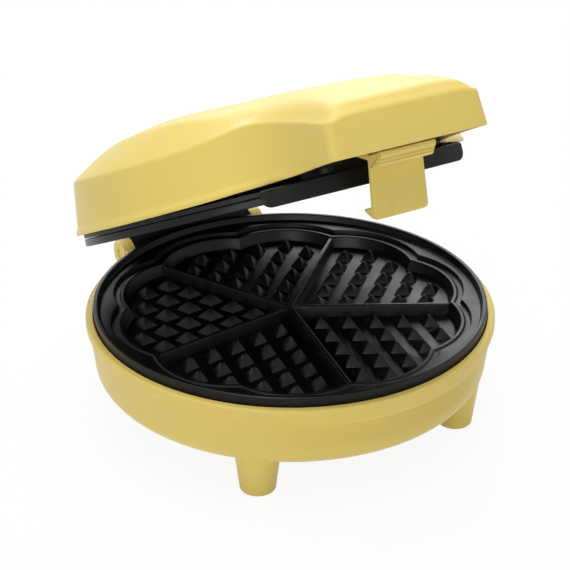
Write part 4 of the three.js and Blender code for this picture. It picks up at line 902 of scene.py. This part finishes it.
def make_base_shell():
    shell = build("base_shell_moulding", *swept(base_section, SHELL_FACETS))
    along, aside = FOOT_MIDDLE * math.cos(FOOT_ANGLE), FOOT_MIDDLE * math.sin(FOOT_ANGLE)
    feet = [(i * along, k * aside) for i in (-1, 1) for k in (-1, 1)]
    skin = upright(0, 0, 0, WALL_LOW - 0.02, WALL_LOW_RADIUS - FOOT_INSET, SHELL_FACETS)
    wall, top = WALL_LOW_RADIUS - FOOT_SINK, WALL_LOW + 5
    room = [(0, FLOOR_HEIGHT + FOOT_SINK), *base_corner(FOOT_SINK, 8), (wall, top), (0, top)]
    for x, y in feet:
        leg = build("leg", *foot_shape(x, y))
        carve(leg, skin, "INTERSECT")
        carve(leg, turned(room, SHELL_FACETS))
        carve(shell, shape_of(leg), "UNION")
    for side in (-1, 1):
        ear = build("ear", *ear_shape(side))
        carve(ear, upright(0, 0, 20, THROUGH, POCKET_RADIUS + 1.2, SHELL_FACETS))
        carve(shell, shape_of(ear), "UNION")
    gland_start = WALL_LOW_RADIUS - GLAND_ROOT
    carve(shell, backward(gland_start, GLAND_HEIGHT, GLAND_SEAT_LENGTH, GLAND_SEAT_RADIUS), "UNION")
    carve(shell, crossing(HINGE_Y, HINGE_Z, EAR_INNER, BARREL_RADIUS + 2 * FIT, 64))
    carve(shell, crossing(HINGE_Y, HINGE_Z, THROUGH, PIN_RADIUS + FIT))
    carve(shell, backward(FLOOR_RADIUS - 3, GLAND_HEIGHT, THROUGH, GLAND_BORE))
    for x, y in feet:
        carve(shell, upright(x, y, UNDERSIDE, PAD_POCKET_TOP, PAD_POCKET_RADIUS))
    seat = PLATE_BOTTOM - SCREW_DEPTH
    for place in SCREW_PLACES:
        x, y = notch(place, SCREW_MIDDLE)
        carve(shell, upright(x, y, FLOOR_HEIGHT + 1, PLATE_BOTTOM - FIT, COLUMN_RADIUS), "UNION")
        carve(shell, upright(x, y, UNDERSIDE, seat, HEAD_BORE))
        carve(shell, upright(x, y, seat - 3, LIP_TOP, SCREW_HOLE))
    carve(shell, air_slots())
    return shade(placed(shell, BASE_PLACE))


# Heart plates


def lobe_reach(angle, out):
    """Distance from the middle to the edge of the ten lobes, moved out by a distance."""
    off = math.radians((angle - 90 - HEART_TURN) % LOBE_WIDTH - LOBE_WIDTH / 2)
    radius = LOBE_RADIUS + out
    across = LOBE_CENTRE * math.sin(off)
    return LOBE_CENTRE * math.cos(off) + math.sqrt(radius * radius - across * across)


def plate_top(angle):
    """The top of a plate from the overflow channel in to the middle, as rounded corners."""
    steps = (
        (CHANNEL_OUTER[0], RING_TOP, 0.6), (CHANNEL_OUTER[1], CHANNEL_FLOOR, 0.6),
        (CHANNEL_INNER[1], CHANNEL_FLOOR, 0.5), (CHANNEL_INNER[0], CAVITY_LIP, 0.4),
        (0.0, CAVITY_LIP, 0.5), (-CAVITY_DRAFT, CAVITY_FLOOR, 1.2),
    )
    path = [(lobe_reach(angle, out), z, radius) for out, z, radius in steps]
    return corners(*path, (0, CAVITY_FLOOR, 0))


def lower_section(angle):
    rim, cup = RIM_RADIUS, CUP_RADIUS
    outside = corners(
        (0, PLATE_BOTTOM, 0), (cup - CUP_TAPER, PLATE_BOTTOM, 1.0), (cup, SKIRT, 0.8),
        (rim, SKIRT, 0.4), (rim, RIM_TOP, 0.8), (rim - RIM_WIDTH, RIM_TOP, 0.7),
        (rim - RIM_FOOT, RING_TOP, 0.8),
    )
    return rounded(outside + plate_top(angle))


def upper_section(angle):
    rim, cup = UPPER_RIM_RADIUS, CUP_RADIUS
    outside = corners(
        (0, PLATE_BOTTOM, 0), (cup - 2 * CUP_TAPER, PLATE_BOTTOM, 1.0), (cup - CUP_TAPER, PLATE_BACK, 0.8),
        (rim, PLATE_BACK, 0.5), (rim, RING_TOP, 0.8),
    )
    return rounded(outside + plate_top(angle))


def divider_shapes():
    """The five ridges that part the hearts."""
    low, high = CAVITY_FLOOR - DIVIDER_SINK, CAVITY_FLOOR + DIVIDER_HEIGHT
    profile = rounded(corners(
        (-DIVIDER_FOOT, low, 0), (DIVIDER_FOOT, low, 0),
        (DIVIDER_TOP, high, 0.7), (-DIVIDER_TOP, high, 0.7),
    ))
    length = lobe_reach(HEART_TURN + 90, -0.9)
    bar = moved(prism(profile, length / 2, (1, 2, 0)), (length / 2, 0, 0))
    turns = [math.radians(HEART_TURN + HEART_WIDTH * heart) for heart in range(HEARTS)]
    return [moved(bar, turn=Matrix.Rotation(turn, 3, "Z")) for turn in turns]


def stud_tree():
    """The slanted grid of pyramids in each of the hearts, five by five less those past the edge."""
    tree, given, out, values = new_tree("heart_studs", [
        ("Hearts", "Int", HEARTS), ("Per Side", "Int", STUDS_PER_SIDE), ("Pitch", "Float", CELL_PITCH),
        ("First", "Float", CELL_PITCH * 0.82), ("Foot", "Float", CELL_PITCH * 0.36),
        ("Height", "Float", 5.0), ("Sink", "Float", 1.0), ("Tip", "Float", 0.55),
        ("Farthest", "Float", LOBE_REACH - CELL_PITCH * 0.7), ("Level", "Float", CAVITY_FLOOR),
        ("Start Turn", "Float", math.radians(HEART_TURN)),
        ("Finish", "Material", FINISHES["coated_aluminium"]),
    ])

    def slanted(vector):
        """A slanted copy of coordinates: X runs along one divider and Y along the next."""
        x, y, z = add(tree, "SeparateXYZ", i0=vector)
        wide = math.radians(HEART_WIDTH)
        along = reckon(tree, "ADD", x, reckon(tree, "MULTIPLY", y, math.cos(wide)))
        return combine(tree, along, reckon(tree, "MULTIPLY", y, math.sin(wide)), z)

    def set_position(geometry, spot):
        return add(tree, "GeometryNodeSetPosition", Geometry=geometry, Position=spot)[0]

    # one heart's grid of spots, less those past the plate's edge
    side, last = given["Per Side"], reckon(tree, "SUBTRACT", given["Per Side"], 1)
    size = reckon(tree, "MULTIPLY", last, given["Pitch"])
    grid = add(tree, "GeometryNodeMeshGrid", Size_X=size, Size_Y=size, Vertices_X=side, Vertices_Y=side)
    middle = reckon(tree, "ADD", given["First"], reckon(tree, "MULTIPLY", size, 0.5))
    spot = add(tree, "VectorMath", {"operation": "ADD"}, i0=position(tree),
               i1=combine(tree, middle, middle))[0]
    grid = set_position(grid["Mesh"], slanted(spot))
    away = add(tree, "VectorMath", {"operation": "LENGTH"}, i0=position(tree))["Value"]
    past = add(tree, "FunctionNodeCompare", {"data_type": "FLOAT", "operation": "GREATER_EQUAL"},
               i0=away, i1=given["Farthest"])[0]
    grid = add(tree, "GeometryNodeDeleteGeometry", {"domain": "POINT"}, Geometry=grid, Selection=past)[0]

    # one pyramid, slanted as the grid is
    root = math.sqrt(2)
    stud = add(tree, "GeometryNodeMeshCone", Vertices=4, Side_Segments=1, Fill_Segments=1,
               Radius_Top=reckon(tree, "MULTIPLY", given["Tip"], root),
               Radius_Bottom=reckon(tree, "MULTIPLY", given["Foot"], root),
               Depth=reckon(tree, "ADD", given["Height"], given["Sink"]))["Mesh"]
    stud = shifted(tree, stud, Rotation=(0, 0, math.pi / 4))
    stud = set_position(stud, slanted(position(tree)))
    stud = shifted(tree, stud, Translation=combine(tree, z=reckon(tree, "MULTIPLY", given["Sink"], -1)))

    # the hearts, turned round the plate's middle
    hub = add(tree, "GeometryNodeMeshLine", Count=given["Hearts"], Offset=(0, 0, 0))[0]
    part = reckon(tree, "DIVIDE", 2 * math.pi, given["Hearts"])
    turn = reckon(tree, "MULTIPLY", add(tree, "GeometryNodeInputIndex")[0], part)
    turn = combine(tree, z=reckon(tree, "ADD", given["Start Turn"], turn))
    hearts = copied(tree, hub, copied(tree, grid, stud),
                    Rotation=add(tree, "FunctionNodeEulerToRotation", i0=turn)[0])
    hearts = shifted(tree, hearts, Translation=combine(tree, z=given["Level"]))
    end_tree(tree, out, hearts, given["Finish"])
    return tree, values


def heart_relief():
    """The pyramids and the dividers between the hearts, as one shape."""
    studs = grown("heart_studs", *stud_tree())
    work = bmesh.new()
    work.from_mesh(studs.data)
    bmesh.ops.bevel(work, geom=list(work.edges), offset=STUD_BEVEL, segments=2, affect="EDGES",
                    profile=0.5, clamp_overlap=True)
    work.to_mesh(studs.data)
    work.free()
    return joined(shape_of(studs), *divider_shapes())


def make_plate(name, section, turn_over):
    plate = build(name, *swept(section, PLATE_FACETS))
    boss_top = PLATE_BOTTOM + 1.5
    carve(plate, upright(0, 0, PLATE_BOTTOM - BOSS_DROP, boss_top, BOSS_RADIUS), "UNION")
    carve(plate, upright(0, 0, 0, boss_top, SCREW_HOLE))
    for place in SCREW_PLACES:
        carve(plate, upright(*notch(place, SCREW_MIDDLE), 0, PLATE_BOTTOM + SCREW_DEPTH, SCREW_HOLE))
    plate = build(name, *joined(shape_of(plate), RELIEF))
    if turn_over:
        over = Matrix.Translation((0, 0, RING_TOP + UPPER_RING)) @ Matrix.Scale(-1, 4, (0, 0, 1))
        placed(plate, LID_PLACE @ over)
        plate.data.flip_normals()
    else:
        placed(plate, BASE_PLACE)
    return shade(plate, 28)


# Lid shell

wall_top_at = curve_through(WALL_TOPS)
ridge_at = curve_through(RIDGES)
middle_at = curve_through(MIDDLES)
facet_width_at = curve_through(FACET_WIDTHS)
fullness_at = curve_through(FULLNESS)
edge_lift_at = curve_through(EDGE_LIFTS)


def lid_outline(radius, half, reach):
    """Points down the lid's right side at one level, from the rear to the nose."""
    points = [Vector(p) for p in arc(0, 0, radius, LID_REAR_TURN, LID_ROOT_TURN, 84)]
    start = points[-1]
    turn = math.radians(LID_ROOT_TURN)
    pull = start + Vector((math.sin(turn), -math.cos(turn))) * 17
    waist = Vector((half - 1.0, HANDLE_WAIST - reach))
    side_end = HANDLE_CORNER - reach
    end, end_pull = Vector((half, side_end)), Vector((half - 0.3, side_end + 8))
    bends = (
        (26, start, pull, waist + Vector((0, 16)), waist),
        (12, waist, waist - Vector((0, 8)), end_pull, end),
    )
    for steps, p0, p1, p2, p3 in bends:
        for k in range(1, steps + 1):
            t = k / steps
            s = 1 - t
            points.append(p0 * s**3 + p1 * 3 * t * s**2 + p2 * 3 * t * t * s + p3 * t**3)
    points += [Vector(p) for p in arc(half - HANDLE_CORNER, side_end, HANDLE_CORNER, 0, -90, 12)[1:]]
    return points


def chained(curves, radii, counts, steps=5):
    """Curves joined end to end, with the corner between each pair rounded."""
    lengths = [max((curve(1) - curve(0)).length, 1e-6) for curve in curves]
    points = []
    for k, curve in enumerate(curves):
        start = min(radii[k - 1] / lengths[k], 0.45) if k else 0.0
        stop = 1 - min(radii[k] / lengths[k], 0.45) if k + 1 < len(curves) else 1.0
        points += [curve(lerp(start, stop, j / counts[k])) for j in range(counts[k] + 1)]
        if k + 1 < len(curves):
            after = curves[k + 1](min(radii[k] / lengths[k + 1], 0.45))
            points += bend(points[-1], curve(1), after, steps)[1:-1]
    return points


def lid_section(high, under, low, bead, inset):
    """The lid from its lower edge to the middle at one place, through four outlines' points."""
    x, y = high
    place = y / HANDLE_REACH
    near = max(NOSE_ROUND - (y + HANDLE_REACH - inset), 0.0)
    drop = NOSE_ROUND - math.sqrt(max(NOSE_ROUND**2 - near**2, 0.0))
    level = LID_EDGE - inset - drop
    bottom = LID_EDGE + HANDLE_LIFT * edge_lift_at(low.y / HANDLE_REACH)
    ridge = level + ridge_at(place)
    middle = level + middle_at(place)
    edge = min(level + wall_top_at(place), ridge - 0.6)
    width = min(facet_width_at(place), x * 0.5) if place > HANDLE_END else x * 0.04
    half_top = x - width
    power = fullness_at(place)
    swell = min(width, 20) * FACET_SWELL

    def facet(t):
        return Vector((lerp(x, half_top, t), y, lerp(edge, ridge, t) + swell * 4 * t * (1 - t)))

    def across(t):
        s = 1 - t
        return Vector((half_top * s, y, ridge + (middle - ridge) * (1 - s**power)))

    corner = Vector((low.x, low.y, bottom))
    foot = bend(Vector((under.x, under.y, bottom)), corner, corner + Vector((0, 0, LID_SOFT)), 3)[:-1]
    foot_top = Vector((low.x, low.y, bottom + LID_SOFT))
    bead_low = Vector((low.x, low.y, bottom + LID_BEAD_LOW))
    bead_high = Vector((bead.x, bead.y, bottom + LID_BEAD_HEIGHT))
    wall = straight(bead_high, Vector((x, y, edge)))
    curves = [straight(foot_top, bead_low), straight(bead_low, bead_high), wall, facet, across]
    return foot + chained(curves, LID_CORNERS, LID_STEPS)


def lid_rows(inset):
    """Sections of the lid from the rear to the nose, moved in by a distance."""
    half, reach = HANDLE_HALF - inset, HANDLE_REACH - inset
    outlines = (
        lid_outline(LID_TOP_RADIUS - inset, half - HANDLE_TAPER, reach),
        lid_outline(LID_RADIUS + LID_BEAD - inset - LID_SOFT, half - LID_SOFT, reach - LID_SOFT),
        lid_outline(LID_RADIUS + LID_BEAD - inset, half, reach),
        lid_outline(LID_RADIUS - 0.4 - inset, half, reach),
    )
    return [lid_section(*spots, inset) for spots in zip(*outlines)]


def make_lid_shell():
    outer, inner = lid_rows(0.0), lid_rows(LID_WALL)
    width, rows = 2 * len(outer[0]) - 1, len(outer)
    points, faces, ends = [], [], []

    def lay(sections):
        """Adds one skin and gives the points of its lower edge, all the way round."""
        start = len(points)
        for row in sections:
            whole = row + [Vector((-p.x, p.y, p.z)) for p in reversed(row[:-1])]
            points.extend(tuple(p) for p in whole)
        for i in range(rows - 1):
            for k in range(width - 1):
                a = start + i * width + k
                faces.append((a, a + 1, a + width + 1, a + width))
        right = [start + i * width for i in range(rows)]
        ends.extend((right[0], right[-1]))
        return right + [i + width - 1 for i in reversed(right)]

    rim_out, rim_in = lay(outer), lay(inner)
    faces += [tuple(range(end, end + width)) for end in ends]
    for k in range(len(rim_out)):
        after = (k + 1) % len(rim_out)
        faces.append((rim_out[k], rim_out[after], rim_in[after], rim_in[k]))
    shell = build("lid_shell_moulding", points, faces)
    half = EAR_INNER + FIT
    notch_low = (-half, HINGE_Y - HINGE_NOTCH_DEPTH, LID_EDGE - 3)
    carve(shell, block(notch_low, (half, HINGE_Y + 5, HINGE_NOTCH_TOP)))
    for side in (-1, 1):
        carve(shell, upright(side * LENS_SPREAD, LENS_Y, *LENS_CUT, LENS_RADIUS + FIT))
    return shade(placed(shell, LID_PLACE), 30)


# Lid frame and latch


def make_latch():
    """The latch: a leaning blade with its hook, and a grooved pad for the finger."""
    back = LATCH_FACE + LATCH_WALL
    root = back + LATCH_LEAN
    hook = root + HOOK_DEPTH
    low = HOOK_TOP - HOOK_HEIGHT
    blade = rounded(corners(
        (LATCH_FACE + LATCH_LEAN, low, 0.9), (root, low, 0.5), (hook, HOOK_TOP - 1.2, 0.4),
        (hook, HOOK_TOP, 0.4), (root, HOOK_TOP, 0.5), (back, PAD_TOP - LATCH_WALL, 1.0),
        (LATCH_PIVOT_Y - LATCH_EYE / 3, LATCH_PIVOT_Z - LATCH_EYE, 0),
        (LATCH_PIVOT_Y, LATCH_PIVOT_Z + LATCH_EYE / 2, 0),
        (LATCH_PIVOT_Y - LATCH_EYE, LATCH_PIVOT_Z + LATCH_EYE / 3, 0.8), (LATCH_FACE, PAD_TOP, 0.8),
    ))
    latch = build("latch_moulding", *edged(blade, LATCH_HALF, (1, 2, 0)))
    blade_top = LATCH_PIVOT_Z + 9
    front = low_corners(LATCH_HALF, low, LATCH_CORNER, 10)
    trim(latch, front + [(LATCH_HALF, blade_top), (-LATCH_HALF, blade_top)], root)
    inside, outside = LATCH_FACE + LATCH_WALL / 2, LATCH_FACE - PAD_REACH
    pad_low = PAD_TOP - PAD_HEIGHT
    pad = rounded(corners(
        (inside, pad_low, 0.3), (outside + PAD_CHAMFER, pad_low, 0.9),
        (outside, pad_low + PAD_CHAMFER, 0.9), (outside, PAD_TOP, 0.6), (inside, PAD_TOP, 0.3),
    ))
    carve(latch, edged(pad, LATCH_HALF + PAD_OVERHANG, (1, 2, 0)), "UNION")
    carve(latch, crossing(LATCH_PIVOT_Y, LATCH_PIVOT_Z, LATCH_HALF - 0.2, LATCH_EYE, 48), "UNION")
    for along in GROOVE_PLACES:
        y, z = outside + PAD_CHAMFER * (1 - along), pad_low + PAD_CHAMFER * along
        carve(latch, crossing(y, z, 20, GROOVE_RADIUS, 24))
    carve(latch, crossing(LATCH_PIVOT_Y, LATCH_PIVOT_Z, 20, LATCH_BORE))
    return weigh(shade(placed(latch, LID_PLACE), 40))


def make_lid_frame():
    """The solid frame, welded, with the wider rounded apron that hangs under the handle."""
    node = frame["nodes"]["lid_frame"]
    mesh = node.data.copy()
    mesh.transform(LID_PLACE.inverted() @ node.matrix_world)
    mend(mesh)
    item = link_new("lid_frame_moulding", mesh)
    steps = 40
    outer = []
    for k in range(steps + 1):
        x = lerp(-APRON_HALF - 1, APRON_HALF + 1, k / steps)
        outer.append(Vector((x, APRON_BEND * (x / APRON_HALF) ** 2 - APRON_FRONT)))
    plan = outer + [p + Vector((0, APRON_WALL)) for p in reversed(outer)]
    apron = build("apron", *edged(plan, (APRON_TOP - APRON_BOTTOM) / 2, (0, 1, 2), 0.7))
    placed(apron, Matrix.Translation((0, 0, (APRON_TOP + APRON_BOTTOM) / 2)))
    front = low_corners(APRON_HALF, APRON_BOTTOM, APRON_CORNER, 12)
    radius = APRON_TOP_CORNER
    front += arc(APRON_HALF - radius, APRON_TOP - radius, radius, 0, 90, 6)
    front += arc(radius - APRON_HALF, APRON_TOP - radius, radius, 90, 180, 6)
    trim(apron, front, -APRON_FRONT)
    carve(item, shape_of(apron), "UNION")
    return weigh(shade(placed(item, LID_PLACE), 35))


def soften_tree():
    """Welds a solid's faces and shades it smooth up to an angle between them."""
    inputs = [("Geometry", "Geometry"), ("Angle", "Float", CREASE_ANGLE)]
    tree, given, out, values = new_tree("soften", inputs)
    solid = given["Geometry"]
    welded = add(tree, "GeometryNodeMergeByDistance", Geometry=solid, Distance=WELD_DISTANCE)[0]
    smooth = add(tree, "GeometryNodeSetShadeSmooth", {"domain": "FACE"}, Geometry=welded)[0]
    turn = add(tree, "GeometryNodeInputMeshEdgeAngle")["Unsigned Angle"]
    sharp = add(tree, "FunctionNodeCompare", {"data_type": "FLOAT", "operation": "GREATER_THAN"},
                i0=turn, i1=given["Angle"])[0]
    creased = add(tree, "GeometryNodeSetShadeSmooth", {"domain": "EDGE"}, Geometry=smooth,
                  Selection=sharp, Shade_Smooth=False)[0]
    feed(tree, out, {"Geometry": creased})
    return tree, values


# Stage


def bare_tree(owner):
    """The emptied node tree of a material or a world."""
    owner.use_nodes = True
    owner.node_tree.nodes.clear()
    return owner.node_tree


def seen_by(tree, *rays):
    """1 for rays of the named kinds, 0 for the light on the object."""
    light = add(tree, "LightPath")
    share = light[rays[0]]
    for ray in rays[1:]:
        share = reckon(tree, "MAXIMUM", share, light[ray])
    return share


def stage():
    """A pale floor and a white world, both plain."""
    half = FLOOR_HALF
    mesh = bpy.data.meshes.new("floor")
    mesh.from_pydata([(-half, -half, 0), (half, -half, 0), (half, half, 0), (-half, half, 0)], [],
                     [(0, 1, 2, 3)])
    floor = link_new("floor", mesh)
    material = bpy.data.materials.new("white_floor")
    tree = bare_tree(material)
    seen = reckon(tree, "MULTIPLY", seen_by(tree, "Is Camera Ray", "Is Glossy Ray"), FLOOR_SEEN)
    matt = add(tree, "BsdfDiffuse", Color=FLOOR_TONE)[0]
    glow = add(tree, "Emission", Color=WHITE, Strength=1.0)[0]
    mixed = add(tree, "MixShader", i0=seen, i1=matt, i2=glow)[0]
    add(tree, "OutputMaterial", Surface=mixed)
    mesh.materials.append(material)
    world = bpy.data.worlds.new("studio")
    tree = bare_tree(world)
    seen = seen_by(tree, "Is Camera Ray", "Is Glossy Ray", "Is Transmission Ray")
    level = add(tree, "MapRange", i0=seen, i3=WORLD_LEVEL, i4=1.0)[0]
    sky = add(tree, "Background", Color=WHITE, Strength=level)[0]
    add(tree, "OutputWorld", Surface=sky)
    bpy.context.scene.world = world


photo_camera()
stage()
for lamp in LAMPS:
    softbox(*lamp)
bpy.context.scene.view_settings.view_transform = "Standard"

# The solids that stay: their finish and soft shading
SOFTEN = soften_tree()
for part in frame["record"]["subparts"]:
    node = frame["nodes"][part["node"]]
    show(node, OTHER_FINISHES.get(part["node"], part["material_slot"]))
    run_tree(node, "soften", *SOFTEN)

# The finer pieces, each with its finish, its body and the solid that it replaces
RELIEF = heart_relief()
for item, finish, body, node in (
    (make_base_shell(), "yellow_plastic", "base", "base_shell"),
    (make_plate("lower_plate_casting", lower_section, False), "coated_aluminium", "base", "lower_plate"),
    (make_plate("upper_plate_casting", upper_section, True), "coated_aluminium", "lid", "upper_plate"),
    (make_lid_shell(), "yellow_plastic", "lid", "lid_shell"),
    (make_lid_frame(), "black_plastic", "lid", "lid_frame"),
    (make_latch(), "yellow_plastic", "latch", "latch"),
):
    show(item, finish, body)
    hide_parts(node)
